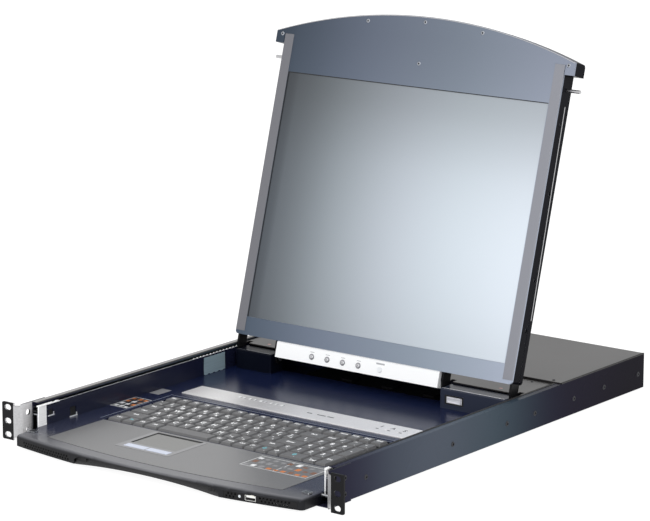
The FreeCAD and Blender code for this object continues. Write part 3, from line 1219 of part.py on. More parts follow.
def lcd_screws():
    """Screws in the handle's face and in both sides, a little below the surface."""
    solids = []
    for x, s in BEZEL_SCREWS:
        start, end = screen_point(x, s, SCREW_SUNK), screen_point(x, s, SCREEN_FACE)
        solids.append(rod(BEZEL_SCREW_R, tuple(start), tuple(end)))
    for s in SIDE_SCREW_S:
        for side in (-1, 1):
            start = screen_point(side * (SCREEN_HALF - SCREEN_WALL), s, SIDE_SCREW_D)
            end = screen_point(side * (SCREEN_HALF - SCREW_SUNK), s, SIDE_SCREW_D)
            solids.append(rod(BEZEL_SCREW_R, tuple(start), tuple(end)))
    return solids


def lcd_screw_holes():
    radius = BEZEL_SCREW_R + 0.3
    holes = []
    for x, s in BEZEL_SCREWS:
        start, end = screen_point(x, s, -1), screen_point(x, s, SCREEN_FACE - 0.5)
        holes.append(rod(radius, tuple(start), tuple(end)))
        start, end = screen_point(x, s, -1), screen_point(x, s, SCREEN_FACE + 0.5)
        holes.append(rod(BEZEL_SCREW_R, tuple(start), tuple(end)))
    for s in SIDE_SCREW_S:
        for side in (-1, 1):
            start = screen_point(side * (SCREEN_HALF - SCREEN_WALL - 1), s, SIDE_SCREW_D)
            end = screen_point(side * (SCREEN_HALF + 1), s, SIDE_SCREW_D)
            holes.append(rod(BEZEL_SCREW_R, tuple(start), tuple(end)))
    return holes


def lock_pin(side):
    """Sprung pin of the handle: its tip stands out at the side and drops into the ear's hole."""
    collar_x = PIN_GUIDE_X - 0.1
    pin = pin_rod(PIN_R, side * (collar_x - 8), side * PIN_TIP)
    tip = [e for e in pin.Edges if abs(abs(e.CenterOfMass.x) - PIN_TIP) < 0.01]
    pin = pin.makeChamfer(0.9, tip)
    collar = pin_rod(PIN_R + 0.8, side * (collar_x - 2), side * collar_x)
    return raised(fuse([pin, collar]))


def control_bar():
    """Bright bar with the screen's buttons, between the two hinges."""
    bar = upright(BAR_LEFT, BAR_RIGHT, -BAR_HEIGHT, 0, 0, BAR_DEPTH)
    bar = bar.cut(upright(BAR_LEFT - 1, BAR_RIGHT + 1, -0.9, 1, -1, 1.5))
    bar = bar.cut(upright(BAR_LEFT + BAR_WALL, BAR_RIGHT - BAR_WALL, -BAR_HEIGHT + BAR_WALL, -0.9 - BAR_WALL,
                          BAR_WALL + 1.2, BAR_DEPTH - BAR_WALL))
    for x in BUTTON_X:
        bar = bar.cut(button_rod(x, BUTTON_R + BUTTON_FIT, -1, 4))
    window = upright(BUTTON_X[4] - 9, BUTTON_X[4] - 4.5, BUTTON_S + 6, BUTTON_S + 8, -1, 0.3)
    return raised(bar.cut(window))


def button_rod(x, radius, d0, d1):
    return rod(radius, tuple(screen_point(x, BUTTON_S, d0)), tuple(screen_point(x, BUTTON_S, d1)))


def bar_button(x):
    """A round button; its flange stays behind the bar's face."""
    front = BAR_WALL + 1.2
    cap = button_rod(x, BUTTON_R, -BUTTON_PROUD, front + 0.8)
    cap = cap.makeChamfer(0.4, [e for e in cap.Edges if e.CenterOfMass.y < -HINGE_BEHIND - BUTTON_PROUD + 0.01])
    flange = button_rod(x, BUTTON_R + 1.0, front + 0.1, front + 1.2)
    plunger = button_rod(x, 1.6, front + 1.0, BAR_DEPTH - BAR_WALL - BUTTON_TRAVEL - 0.1)
    return raised(fuse([cap, flange, plunger]))


# ================================================================ export
os.makedirs("parts", exist_ok=True)
save("chassis_base", chassis_base())
save("rear_panel", rear_panel())
save("rear_top_cover", rear_top_cover())
right_ear = rack_ear()
save("rack_ear_right", right_ear)
save("rack_ear_left", mirrored(right_ear))
save("chassis_screws", *chassis_screws())
save("kvm_port_sockets", *[port_socket(x) for x in PORT_X])
save("power_inlet", power_inlet())
save("power_switch", power_switch())
save("main_board", main_board())
save("power_supply", power_supply())

for name, piece in (("slide_outer", slide_outer()), ("slide_middle", slide_middle())):
    save(name + "_right", piece)
    save(name + "_left", mirrored(piece))
inner_member = slide_inner()
save("slide_inner_members", inner_member, mirrored(inner_member))
outer_cages = ball_cage((middle_web + middle_reach) / 2, middle_half, 120.0)
inner_cages = ball_cage((inner_reach + SLIDE_DEPTH) / 2, inner_member_half, 200.0)
save("ball_cages_outer", *outer_cages, *[mirrored(s) for s in outer_cages])
save("ball_cages_inner", *inner_cages, *[mirrored(s) for s in inner_cages])

save("tray_pan", tray_pan())
bracket = front_bracket()
save("slide_front_brackets", bracket, mirrored(bracket))
save("keyboard_deck", keyboard_deck())
save("palm_rest", palm_rest())
save("grip_insert", grip_insert())
save("front_grilles", front_grille(-1), front_grille(1))
save("front_usb_port", front_usb_port())
save("power_led", power_led())
catch = release_catch()
save("release_catch_right", catch)
save("release_catch_left", mirrored(catch))

save("keyboard_frame", keyboard_frame())
fixed_keys = []
for name, x0, x1, y0, y1 in key_rows():
    if name == "key":
        fixed_keys.append(keycap(x0, x1, y0, y1, frame_top))
    else:
        save("key_" + name, keycap(x0, x1, y0, y1, frame_top - 2.0))
save("keycaps", *fixed_keys)

save("touchpad_frame", touchpad_frame())
save("touchpad_pad", touchpad_pad())
save("touchpad_button_left", touchpad_button(-1))
save("touchpad_button_right", touchpad_button(1))
save("label_strip", label_strip())

save("hinge_cover_left", hinge_cover(LEFT_COVER, False))
save("hinge_cover_right", hinge_cover(RIGHT_COVER, True))
save("service_port", service_port())
save("friction_hinges", friction_hinge(LEFT_COVER), friction_hinge(RIGHT_COVER))
save("hinge_arms", *[hinge_arm(span) for span in ARM_SPANS])
save("hinge_shafts", hinge_shaft(ARM_SPANS[0][0], ARM_SPANS[1][1]), hinge_shaft(ARM_SPANS[2][0], ARM_SPANS[3][1]))
save("tray_rear_cover", tray_rear_cover())
save("controller_board", controller_board())

save("lcd_bezel", lcd_bezel())
save("lcd_frame", lcd_frame())
save("lcd_rear_shell", lcd_rear_shell())
save("lcd_side_strips", *lcd_side_strips())
save("lcd_glass", lcd_glass())
save("lcd_panel", lcd_panel())
save("lcd_screws", *[raised(s) for s in lcd_screws()])
save("lock_pin_left", lock_pin(-1))
save("lock_pin_right", lock_pin(1))
save("control_bar", control_bar())
for number, x in enumerate(BUTTON_X, 1):
    save("menu_button_%d" % number, bar_button(x))
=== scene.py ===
import json
import math
import random

import bmesh
import bpy
from mathutils import Matrix, Vector


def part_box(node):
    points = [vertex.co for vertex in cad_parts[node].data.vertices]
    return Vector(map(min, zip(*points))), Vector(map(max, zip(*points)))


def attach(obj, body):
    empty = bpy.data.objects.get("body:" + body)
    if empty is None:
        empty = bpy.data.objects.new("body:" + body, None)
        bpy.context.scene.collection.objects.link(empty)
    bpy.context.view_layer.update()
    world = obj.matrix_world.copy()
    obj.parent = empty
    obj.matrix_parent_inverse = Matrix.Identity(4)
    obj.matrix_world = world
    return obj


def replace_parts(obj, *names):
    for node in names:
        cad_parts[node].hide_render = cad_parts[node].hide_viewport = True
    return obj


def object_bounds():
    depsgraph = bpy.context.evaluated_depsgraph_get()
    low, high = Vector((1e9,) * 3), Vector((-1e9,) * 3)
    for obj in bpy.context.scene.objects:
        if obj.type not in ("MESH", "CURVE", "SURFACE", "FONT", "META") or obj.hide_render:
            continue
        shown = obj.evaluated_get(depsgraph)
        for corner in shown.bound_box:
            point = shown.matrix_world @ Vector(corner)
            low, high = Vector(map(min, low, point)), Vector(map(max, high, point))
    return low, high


# A rackmount LCD console drawer, dressed section by section in the order it is put together.
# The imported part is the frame: its nodes keep their places, and each section gives them their finish.
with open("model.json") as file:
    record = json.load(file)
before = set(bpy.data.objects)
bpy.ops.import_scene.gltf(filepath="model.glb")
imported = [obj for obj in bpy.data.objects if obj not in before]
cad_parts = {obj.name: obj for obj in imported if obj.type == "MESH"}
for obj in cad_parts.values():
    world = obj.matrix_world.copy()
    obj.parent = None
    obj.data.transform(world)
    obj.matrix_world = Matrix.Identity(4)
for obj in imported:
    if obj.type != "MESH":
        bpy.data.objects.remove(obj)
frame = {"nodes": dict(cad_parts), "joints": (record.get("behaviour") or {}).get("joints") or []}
cad_box = [list(corner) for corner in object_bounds()]


# ======================================================================= chassis
# The chassis is folded from galvanised sheet and powder-coated dark slate, a satin film with a fine
# orange-peel skin. The rear wall and the fixed lid of the rear bay have the same coat.
def node_group(name, inputs, outputs):
    """An empty shader group with number inputs (name: default) and outputs."""
    group = bpy.data.node_groups.new(name, "ShaderNodeTree")
    for label, value in inputs.items():
        socket = group.interface.new_socket(label, in_out="INPUT", socket_type="NodeSocketFloat")
        socket.default_value = value
    for label in outputs:
        group.interface.new_socket(label, in_out="OUTPUT", socket_type="NodeSocketFloat")
    return group, group.nodes.new("NodeGroupInput"), group.nodes.new("NodeGroupOutput")


def fill(tree, node, inputs):
    """Sets a node's inputs to plain values, or links them to other sockets."""
    for label, value in inputs.items():
        if isinstance(value, bpy.types.NodeSocket):
            tree.links.new(value, node.inputs[label])
        else:
            node.inputs[label].default_value = value
    return node


def add(tree, kind, inputs):
    return fill(tree, tree.nodes.new(kind), inputs)


def math_node(tree, operation, a, b):
    node = add(tree, "ShaderNodeMath", {0: a, 1: b})
    node.operation = operation
    return node.outputs[0]


def noise(tree, coordinate, scale, detail):
    node = add(tree, "ShaderNodeTexNoise", {"Vector": coordinate, "Scale": scale, "Detail": detail})
    return node.outputs["Fac"]


skin, given, result = node_group("coated_skin", {"Cloud Size": 9.0, "Cloud": 0.1, "Peel Size": 900.0},
                                 ("Tone", "Height", "Matt"))
place = skin.nodes.new("ShaderNodeTexCoord").outputs["Object"]
cloud = noise(skin, place, given.outputs["Cloud Size"], 3.0)
swing = math_node(skin, "MULTIPLY", math_node(skin, "SUBTRACT", cloud, 0.5), given.outputs["Cloud"])
fill(skin, result, {"Tone": math_node(skin, "ADD", swing, 1.0), "Matt": math_node(skin, "MULTIPLY", swing, 0.5),
                    "Height": noise(skin, place, given.outputs["Peel Size"], 2.0)})


def graded(tree, stops, low, high, axis):
    """A colour that changes along X, Y or Z of the piece, between two places in metres.

    Each stop is a position from 0 to 1 with a colour, or with one number for a grey."""
    place = tree.nodes.new("ShaderNodeTexCoord").outputs["Object"]
    parts = add(tree, "ShaderNodeSeparateXYZ", {0: place})
    span = add(tree, "ShaderNodeMapRange", {"From Min": low, "From Max": high, "Value": parts.outputs[axis]})
    ramp = add(tree, "ShaderNodeValToRGB", {"Fac": span.outputs["Result"]})
    ramp.color_ramp.interpolation = "B_SPLINE"
    while len(ramp.color_ramp.elements) < len(stops):
        ramp.color_ramp.elements.new(0.5)
    for element, (at, colour) in zip(ramp.color_ramp.elements, stops):
        element.position = at
        element.color = (*(colour if isinstance(colour, tuple) else (colour,) * 3), 1.0)
    return ramp.outputs["Color"]


def toned_base(tree, shader, colour, tone):
    """Gives a shader a base colour that a tone signal scales."""
    toned = tree.nodes.new("ShaderNodeVectorMath")
    toned.operation = "SCALE"
    fill(tree, toned, {0: colour, "Scale": tone})
    fill(tree, shader, {"Base Color": toned.outputs["Vector"]})
    return toned


def bumped(tree, shader, height, strength, distance):
    """Raises the shaded surface by a height signal."""
    bump = add(tree, "ShaderNodeBump", {"Strength": strength, "Distance": distance, "Height": height})
    tree.links.new(bump.outputs["Normal"], shader.inputs["Normal"])


def coated(name, colour, rough, metallic=0.0, cloud=0.12, cloud_size=9.0, peel=0.03, peel_size=900.0,
           clear=0.0, clear_rough=0.1, specular=0.5, tone_and_light=None):
    """A coated or moulded finish. The last argument is a function that builds a colour over the piece, with painted
    light and shade in it.
    """
    material = bpy.data.materials.new(name)
    material.use_nodes = True
    tree = material.node_tree
    film = tree.nodes.new("ShaderNodeGroup")
    film.node_tree = skin
    fill(tree, film, {"Cloud Size": cloud_size, "Cloud": cloud, "Peel Size": peel_size})
    shader = fill(tree, tree.nodes["Principled BSDF"], {
        "Metallic": metallic, "Specular IOR Level": specular, "Coat Weight": clear, "Coat Roughness": clear_rough,
        "Roughness": math_node(tree, "ADD", film.outputs["Matt"], rough)})
    toned = toned_base(tree, shader, colour, film.outputs["Tone"])
    if tone_and_light:
        tree.links.new(tone_and_light(tree), toned.inputs[0])
    bumped(tree, shader, film.outputs["Height"], peel, 0.0004)
    return material


def dress(material, *names):
    """Gives CAD nodes a finish."""
    for name in names:
        node = frame["nodes"][name]
        node.data.materials.clear()
        node.data.materials.append(material)


def slate_painted_highlight(tree):
    """Painted highlight: the coat is painted lighter along the middle of the long walls and darker towards both ends.
    """
    return graded(tree, [(0.0, (0.014, 0.014, 0.030)), (0.10, (0.022, 0.022, 0.042)), (0.20, (0.051, 0.062, 0.084)),
                         (0.33, (0.070, 0.083, 0.108)), (0.43, (0.058, 0.073, 0.095)), (0.55, (0.038, 0.058, 0.075)),
                         (0.67, (0.012, 0.014, 0.028)), (0.77, (0.009, 0.007, 0.018)), (1.0, (0.004, 0.003, 0.006))],
                  0.0, 0.60, "Y")


def dress_faces(material, name, wanted):
    """Gives some faces of a CAD node a second finish."""
    mesh = frame["nodes"][name].data
    mesh.materials.append(material)
    for face in mesh.polygons:
        if wanted(face.normal, face.center):
            face.material_index = len(mesh.materials) - 1


# The chassis coat carries a painted highlight along its long walls.
slate = coated("slate_coat", (1, 1, 1), 0.27, specular=0.03, tone_and_light=slate_painted_highlight)
dress(slate, "chassis_base")
# Painted reflection: the top of the left flange is painted light grey, where its dark coat mirrors the pale
# surroundings.
flange_painted_reflection = coated("flange_painted_reflection", (0.24, 0.235, 0.23), 0.35)
dress_faces(flange_painted_reflection, "chassis_base", lambda n, c: n.z > 0.9 and c.z > 0.020 and c.x < -0.2)
slate_lid = coated("slate_lid", (0.027, 0.025, 0.025), 0.30, specular=0.28)
dress(slate_lid, "rear_panel", "rear_top_cover")


# ======================================================================= rack ears
# Each ear is a 2 mm steel bracket. Its face is coated black, the outside of its flange like the
# chassis, and the inside of the bend and the flange is masked and left bright zinc. The slanted
# faces of the bend get a darker copy of that zinc, a painted shade.
brush, given, result = node_group("brushed_grain", {"Across": 1600.0, "Along": 30.0, "Turn": 0.0},
                                  ("Streak", "Height"))
place = brush.nodes.new("ShaderNodeTexCoord").outputs["Object"]
parts = add(brush, "ShaderNodeSeparateXYZ", {0: place})
turned, swapped = brush.nodes.new("ShaderNodeMix"), brush.nodes.new("ShaderNodeMix")
for mixer, first, second in ((turned, "X", "Y"), (swapped, "Y", "X")):
    mixer.data_type = "FLOAT"
    fill(brush, mixer, {"Factor": given.outputs["Turn"], "A": parts.outputs[first], "B": parts.outputs[second]})
joined = add(brush, "ShaderNodeCombineXYZ", {
    0: math_node(brush, "MULTIPLY", turned.outputs["Result"], given.outputs["Along"]),
    1: math_node(brush, "MULTIPLY", swapped.outputs["Result"], given.outputs["Across"]),
    2: math_node(brush, "MULTIPLY", parts.outputs["Z"], given.outputs["Across"])})
streak = noise(brush, joined.outputs[0], 1.0, 2.0)
fill(brush, result, {"Height": streak,
                     "Streak": math_node(brush, "ADD", math_node(brush, "MULTIPLY", streak, 0.5), 0.75)})


def bare_metal(name, colour, rough, turn=0.0, across=1600.0, along=30.0, grain=0.05, metallic=1.0):
    """Plated or brushed metal; turn 0 runs the grain along X, and 1 along Y."""
    material = bpy.data.materials.new(name)
    material.use_nodes = True
    tree = material.node_tree
    shader = fill(tree, tree.nodes["Principled BSDF"], {"Metallic": metallic, "Roughness": rough})
    grained = tree.nodes.new("ShaderNodeGroup")
    grained.node_tree = brush
    fill(tree, grained, {"Across": across, "Along": along, "Turn": turn})
    toned_base(tree, shader, colour, grained.outputs["Streak"])
    bumped(tree, shader, grained.outputs["Height"], grain, 0.0002)
    return material


ear_coat = coated("ear_coat", (0.006, 0.006, 0.007), 0.32, specular=0.12)
ear_zinc = bare_metal("ear_zinc", (0.86, 0.85, 0.86), 0.42, turn=1.0, metallic=0.3)
bend_zinc_shaded = bare_metal("bend_zinc_shaded", (0.46, 0.46, 0.47), 0.38, turn=1.0, across=500.0, metallic=0.5)
for name, inward in (("rack_ear_left", 1), ("rack_ear_right", -1)):
    dress(ear_coat, name)
    dress_faces(ear_zinc, name, lambda n, c: n.x * inward > 0.9 and c.y > -0.0015)
    dress_faces(bend_zinc_shaded, name, lambda n, c: 0.4 < n.x * inward <= 0.9 and c.y > -0.0015)
    dress_faces(slate, name, lambda n, c: n.x * inward < -0.9 and c.y > 0.004)


# ======================================================================= side screws
# Pan-head machine screws with hexagon sockets hold the slides, the lid and the ears to the chassis
# walls. They are blackened steel, so the rim of each head catches the light.
def merged(name):
    """A CAD node as a mesh to edit, with its split corners joined."""
    whole = bmesh.new()
    whole.from_mesh(frame["nodes"][name].data)
    bmesh.ops.remove_doubles(whole, verts=whole.verts, dist=1e-6)
    return whole


def islands(name):
    """The separate solids of a CAD node, each as a list of its corners."""
    whole = merged(name)
    found = []
    left = set(whole.verts)
    while left:
        patch = [left.pop()]
        for vert in patch:
            for edge in vert.link_edges:
                other = edge.other_vert(vert)
                if other in left:
                    left.remove(other)
                    patch.append(other)
        found.append([vert.co.copy() for vert in patch])
    whole.free()
    return found


def extent(points):
    low = Vector([min(p[i] for p in points) for i in range(3)])
    high = Vector([max(p[i] for p in points) for i in range(3)])
    return low, high


def new_object(name, mesh, material, body):
    """Puts a finished mesh in the scene, on its body."""
    made = bpy.data.objects.new(name, mesh)
    bpy.context.scene.collection.objects.link(made)
    if material:
        mesh.materials.clear()
        mesh.materials.append(material)
    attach(made, body)
    return made


def geometry_tree(name, inputs):
    """An empty Geometry Nodes tree with number inputs besides the geometry."""
    tree = bpy.data.node_groups.new(name, "GeometryNodeTree")
    tree.interface.new_socket("Geometry", in_out="INPUT", socket_type="NodeSocketGeometry")
    for label, value in inputs.items():
        socket = tree.interface.new_socket(label, in_out="INPUT", socket_type="NodeSocketFloat")
        socket.default_value = value
    tree.interface.new_socket("Geometry", in_out="OUTPUT", socket_type="NodeSocketGeometry")
    return tree, tree.nodes.new("NodeGroupInput"), tree.nodes.new("NodeGroupOutput")


def repeated(tree, given, result, item, material):
    """Ends a tree: the item stands on every point, turned so that its Z follows the point's axis."""
    axis = add(tree, "GeometryNodeInputNamedAttribute", {"Name": "axis"})
    axis.data_type = "FLOAT_VECTOR"
    turn = add(tree, "FunctionNodeAlignRotationToVector", {"Vector": axis.outputs["Attribute"]})
    turn.axis = "Z"
    stand = add(tree, "GeometryNodeInstanceOnPoints", {"Points": given.outputs["Geometry"], "Instance": item,
                                                       "Rotation": turn.outputs["Rotation"]})
    real = add(tree, "GeometryNodeRealizeInstances", {"Geometry": stand.outputs["Instances"]})
    finish = add(tree, "GeometryNodeSetMaterial", {"Geometry": real.outputs["Geometry"], "Material": material})
    fill(tree, result, {"Geometry": finish.outputs["Geometry"]})


def grown(name, tree, values, points, axes, body):
    """Runs a tree on a cloud of points and keeps the result as a plain mesh on one body."""
    cloud = bpy.data.meshes.new(name + "_points")
    cloud.from_pydata([tuple(p) for p in points], [], [])
    axis = cloud.attributes.new("axis", "FLOAT_VECTOR", "POINT")
    axis.data.foreach_set("vector", [c for a in axes for c in a])
    seed = bpy.data.objects.new(name + "_seed", cloud)
    bpy.context.scene.collection.objects.link(seed)
    modifier = seed.modifiers.new("tree", "NODES")
    modifier.node_group = tree
    for socket in tree.interface.items_tree:
        if socket.in_out == "INPUT" and socket.name in values:
            modifier[socket.identifier] = values[socket.name]
    seen = bpy.context.evaluated_depsgraph_get()
    mesh = bpy.data.meshes.new_from_object(seed.evaluated_get(seen))
    mesh.name = name
    seed.modifiers.clear()
    bpy.data.objects.remove(seed)
    return new_object(name, mesh, None, body)


def socket_screw(name, material):
    """A tree that puts a tapered head with a hexagon socket on every point."""
    tree, given, result = geometry_tree(name, {"Radius": 0.003, "Height": 0.001, "Socket": 0.0014, "Sunk": 0.0007})
    radius, height = given.outputs["Radius"], given.outputs["Height"]
    head = add(tree, "GeometryNodeMeshCone", {"Vertices": 28, "Radius Bottom": radius, "Depth": height,
                                              "Radius Top": math_node(tree, "MULTIPLY", radius, 0.72)})
    depth = math_node(tree, "MULTIPLY", given.outputs["Sunk"], 2.0)
    key_hole = add(tree, "GeometryNodeMeshCylinder", {"Vertices": 6, "Radius": given.outputs["Socket"], "Depth": depth})
    up = add(tree, "ShaderNodeCombineXYZ", {"Z": height})
    lift = add(tree, "GeometryNodeTransform", {"Translation": up.outputs[0], "Geometry": key_hole.outputs["Mesh"]})
    bored = tree.nodes.new("GeometryNodeMeshBoolean")
    bored.operation = "DIFFERENCE"
    fill(tree, bored, {"Mesh 1": head.outputs["Mesh"], "Mesh 2": lift.outputs["Geometry"]})
    repeated(tree, given, result, bored.outputs["Mesh"], material)
    return tree


black_screw = bare_metal("black_screw", (0.045, 0.045, 0.050), 0.28, across=3000.0, along=3000.0)
black_heads = socket_screw("black_socket_screw", black_screw)

head_height = 0.001
seats, outward = [], []
for solid in islands("chassis_screws"):
    low, high = extent(solid)
    side = 1 if high.x > 0 else -1
    middle = (low + high) / 2
    seats.append((side * (max(abs(low.x), abs(high.x)) - head_height), middle.y, middle.z))
    outward.append((side, 0, 0))
heads = grown("chassis_screw_heads", black_heads, {"Radius": 0.003, "Height": head_height}, seats, outward,
              "chassis")
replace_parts(heads, "chassis_screws")


# ======================================================================= telescopic slides
# Three rolled channels on each side run on rows of hardened steel balls. The outer two are black
# zinc, the inner one and its front bracket are bright. Pressed cages keep the polished balls apart.
slide_black = bare_metal("slide_black", (0.045, 0.046, 0.050), 0.40, turn=1.0)
dress(slide_black, "slide_outer_left", "slide_outer_right", "slide_middle_left", "slide_middle_right")
slide_zinc = bare_metal("slide_zinc", (0.42, 0.43, 0.46), 0.36, turn=1.0)
dress(slide_zinc, "slide_inner_members")
bracket_zinc = bare_metal("bracket_zinc", (1.0, 1.0, 1.0), 0.45, turn=1.0, grain=0.02, metallic=0.0)
dress(bracket_zinc, "slide_front_brackets")

ball_steel = bare_metal("ball_steel", (0.85, 0.85, 0.86), 0.12, grain=0.0)
ball_tree, given, result = geometry_tree("race_balls", {"Radius": 0.00095})
ball = add(ball_tree, "GeometryNodeMeshIcoSphere", {"Subdivisions": 3, "Radius": given.outputs["Radius"]})
round_ball = add(ball_tree, "GeometryNodeSetShadeSmooth", {"Geometry": ball.outputs["Mesh"]})
repeated(ball_tree, given, result, round_ball.outputs["Geometry"], ball_steel)

def built(name, made, material, body):
    """Ends a bmesh as a piece on its body."""
    mesh = bpy.data.meshes.new(name)
    made.to_mesh(mesh)
    made.free()
    return new_object(name, mesh, material, body)


# The faceted balls are taken out of each cage, and round ones stand in their places.
for node, body in (("ball_cages_outer", "outer_cages"), ("ball_cages_inner", "inner_cages")):
    whole = merged(node)
    centres = []
    radius = 0.0
    for solid in islands(node):
        low, high = extent(solid)
        if (high - low).length < 0.006:             # a ball; the cage strips are longer
            centres.append((low + high) / 2)
            radius = max(radius, (solid[0] - centres[-1]).length)
            inside = [v for v in whole.verts if (v.co - centres[-1]).length < radius * 1.05]
            bmesh.ops.delete(whole, geom=inside, context="VERTS")
    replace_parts(built(node + "_strip", whole, slide_zinc, body), node)
    grown(node + "_balls", ball_tree, {"Radius": radius}, centres, [(0, 0, 1)] * len(centres), body)


# ======================================================================= rear bay
# Behind the drawer sit the switching board and the closed power supply. The rear wall carries eight
# D-shaped video sockets in plated shells, the moulded mains inlet and its rocker switch.
socket_shell = bare_metal("socket_shell", (0.60, 0.61, 0.64), 0.28, grain=0.02)
dress(socket_shell, "kvm_port_sockets")
supply_case = bare_metal("supply_case", (0.55, 0.56, 0.58), 0.42)
dress(supply_case, "power_supply")
entry_black = coated("entry_black", (0.016, 0.016, 0.018), 0.42, peel=0.08)
dress(entry_black, "power_inlet", "power_switch")
board_resist = coated("board_resist", (0.010, 0.090, 0.040), 0.35, cloud=0.3, cloud_size=60.0)
dress(board_resist, "main_board")

socket_insert = coated("socket_insert", (0.020, 0.045, 0.22), 0.45)
contact_gold = bare_metal("contact_gold", (0.75, 0.58, 0.28), 0.25, grain=0.0)
contact_tree, given, result = geometry_tree("socket_contacts", {"Radius": 0.00055, "Reach": 0.0007})
contact = add(contact_tree, "GeometryNodeMeshCylinder", {"Vertices": 10, "Radius": given.outputs["Radius"],
                                                         "Depth": given.outputs["Reach"]})
repeated(contact_tree, given, result, contact.outputs["Mesh"], contact_gold)


def slab(target, low, high):
    """Adds a closed box to a mesh."""
    corners = [target.verts.new((x, y, z)) for x in (low[0], high[0]) for y in (low[1], high[1])
               for z in (low[2], high[2])]
    for ring in ((0, 1, 3, 2), (4, 6, 7, 5), (0, 4, 5, 1), (2, 3, 7, 6), (0, 2, 6, 4), (1, 5, 7, 3)):
        target.faces.new([corners[n] for n in ring])


inserts = bmesh.new()
contacts = []
for solid in islands("kvm_port_sockets"):
    low, high = extent(solid)
    x, z, mouth = (low.x + high.x) / 2, low.z + 0.00625, high.y - 0.0015
    slab(inserts, (x - 0.0068, mouth, z - 0.0027), (x + 0.0068, mouth + 0.0006, z + 0.0027))
    for row, count in ((-1, 6), (0, 5), (1, 6)):
        for n in range(count):
            across = (n - (count - 1) / 2) * 0.0023
            contacts.append((x + across, mouth + 0.0009, z + row * 0.0018))
built("socket_inserts", inserts, socket_insert, "chassis")
grown("socket_contacts", contact_tree, {}, contacts, [(0, 1, 0)] * len(contacts), "chassis")


# ======================================================================= tray and deck
# The tray is a folded steel pan, and the deck over it carries everything the user touches. Both have
# a glossy midnight-blue coat over a smooth primer, so they mirror what stands round them.
navy = coated("navy_gloss", (0.0085, 0.0100, 0.0270), 0.24, peel=0.015, cloud=0.08)
dress(navy, "tray_pan")
# Bright steel on thin edges stands for the light they catch, a painted highlight.
painted_edge_highlight = bare_metal("painted_edge_highlight", (0.90, 0.90, 0.92), 0.35, turn=1.0, metallic=0.4)
wall_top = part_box("tray_pan")[1].z             # painted highlight: the upper edge of the walls is given bright steel
dress_faces(painted_edge_highlight, "tray_pan", lambda n, c: n.z > 0.9 and c.z > wall_top - 0.0005)


def shaded(tree, first, second):
    """Two gradients multiplied."""
    both = add(tree, "ShaderNodeVectorMath", {0: first, 1: second})
    both.operation = "MULTIPLY"
    return both.outputs["Vector"]


def deck_blue_and_painted_reflection(tree):
    """Midnight blue from the palm rest back; at the bowed front a painted grey reflection on top, fading to black down
    the upright faces.
    """
    rearward = graded(tree, [(0.0, (0.120, 0.120, 0.128)), (0.075, (0.110, 0.110, 0.120)),
                             (0.131, (0.0060, 0.0095, 0.0360)), (1.0, (0.0050, 0.0095, 0.0380))], -0.042, 0.384, "Y")
    upward = graded(tree, [(0.0, 0.12), (0.5, 0.12), (0.85, 1.0)], deck_level - rim_fall, deck_level, "Z")
    return shaded(tree, rearward, upward)


deck_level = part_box("label_strip")[0].z
rim_fall = 0.0040                               # height over which the painted grey reflection fades to black below the deck
deck_coat = coated("deck_coat", (1, 1, 1), 0.26, peel=0.015, cloud=0.08, specular=0.42, tone_and_light=deck_blue_and_painted_reflection)
dress(deck_coat, "keyboard_deck")
# Painted highlight: the raised top faces of the deck get a lighter blue grey.
rim_painted_highlight = coated("rim_painted_highlight", (0.15, 0.17, 0.23), 0.3)
dress_faces(rim_painted_highlight, "keyboard_deck", lambda n, c: n.z > 0.9 and c.z > deck_level + 0.0004)
gloss = graded(deck_coat.node_tree, [(0.0, 0.12), (0.5, 0.12), (0.85, 0.42)], deck_level - rim_fall, deck_level, "Z")
fill(deck_coat.node_tree, deck_coat.node_tree.nodes["Principled BSDF"],
     {"Specular IOR Level": gloss, "Specular Tint": (0.82, 0.88, 1.0, 1.0)})

catch_steel = bare_metal("catch_steel", (0.45, 0.46, 0.48), 0.25)
dress(catch_steel, "release_catch_left", "release_catch_right")


def sheet_piece(name, boxes, material, body, place=Matrix()):
    """A set of thin closed slabs as one piece, moved to its place."""
    made = bmesh.new()
    for low, high in boxes:
        slab(made, low, high)
    made.transform(place)
    return built(name, made, material, body)


black_card = coated("black_card", (0.004, 0.004, 0.005), 0.7)
low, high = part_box("tray_pan")
wall_in, wall_out = high.x - 0.0012, high.x
# Painted shade and highlight: a black card closes each window of the tray wall where it lies in shade, and bright lips
# along its lower and rear edges stand for lit edges.
window_shades, lip_highlights = [], []
for y0, y1, z0, z1 in ((0.032, 0.040, 0.004, 0.0105), (0.0685, 0.0785, -0.0048, 0.0058)):
    for side in (-1, 1):
        x0, x1 = sorted((side * (wall_out - 0.0003), side * wall_out))
        window_shades.append(((x0, y0, z0), (x1, y1, z1)))
        x0, x1 = sorted((side * (wall_in - 0.0008), side * (wall_in + 0.0004)))
        lip_highlights.append(((x0, y0 - 0.0010, z0 - 0.0012), (x1, y1 + 0.0014, z0)))
        lip_highlights.append(((x0, y1, z0), (x1, y1 + 0.0007, z0 + 0.0030)))
sheet_piece("window_painted_shades", window_shades, black_card, "tray")
sheet_piece("window_lip_highlights", lip_highlights, painted_edge_highlight, "tray")

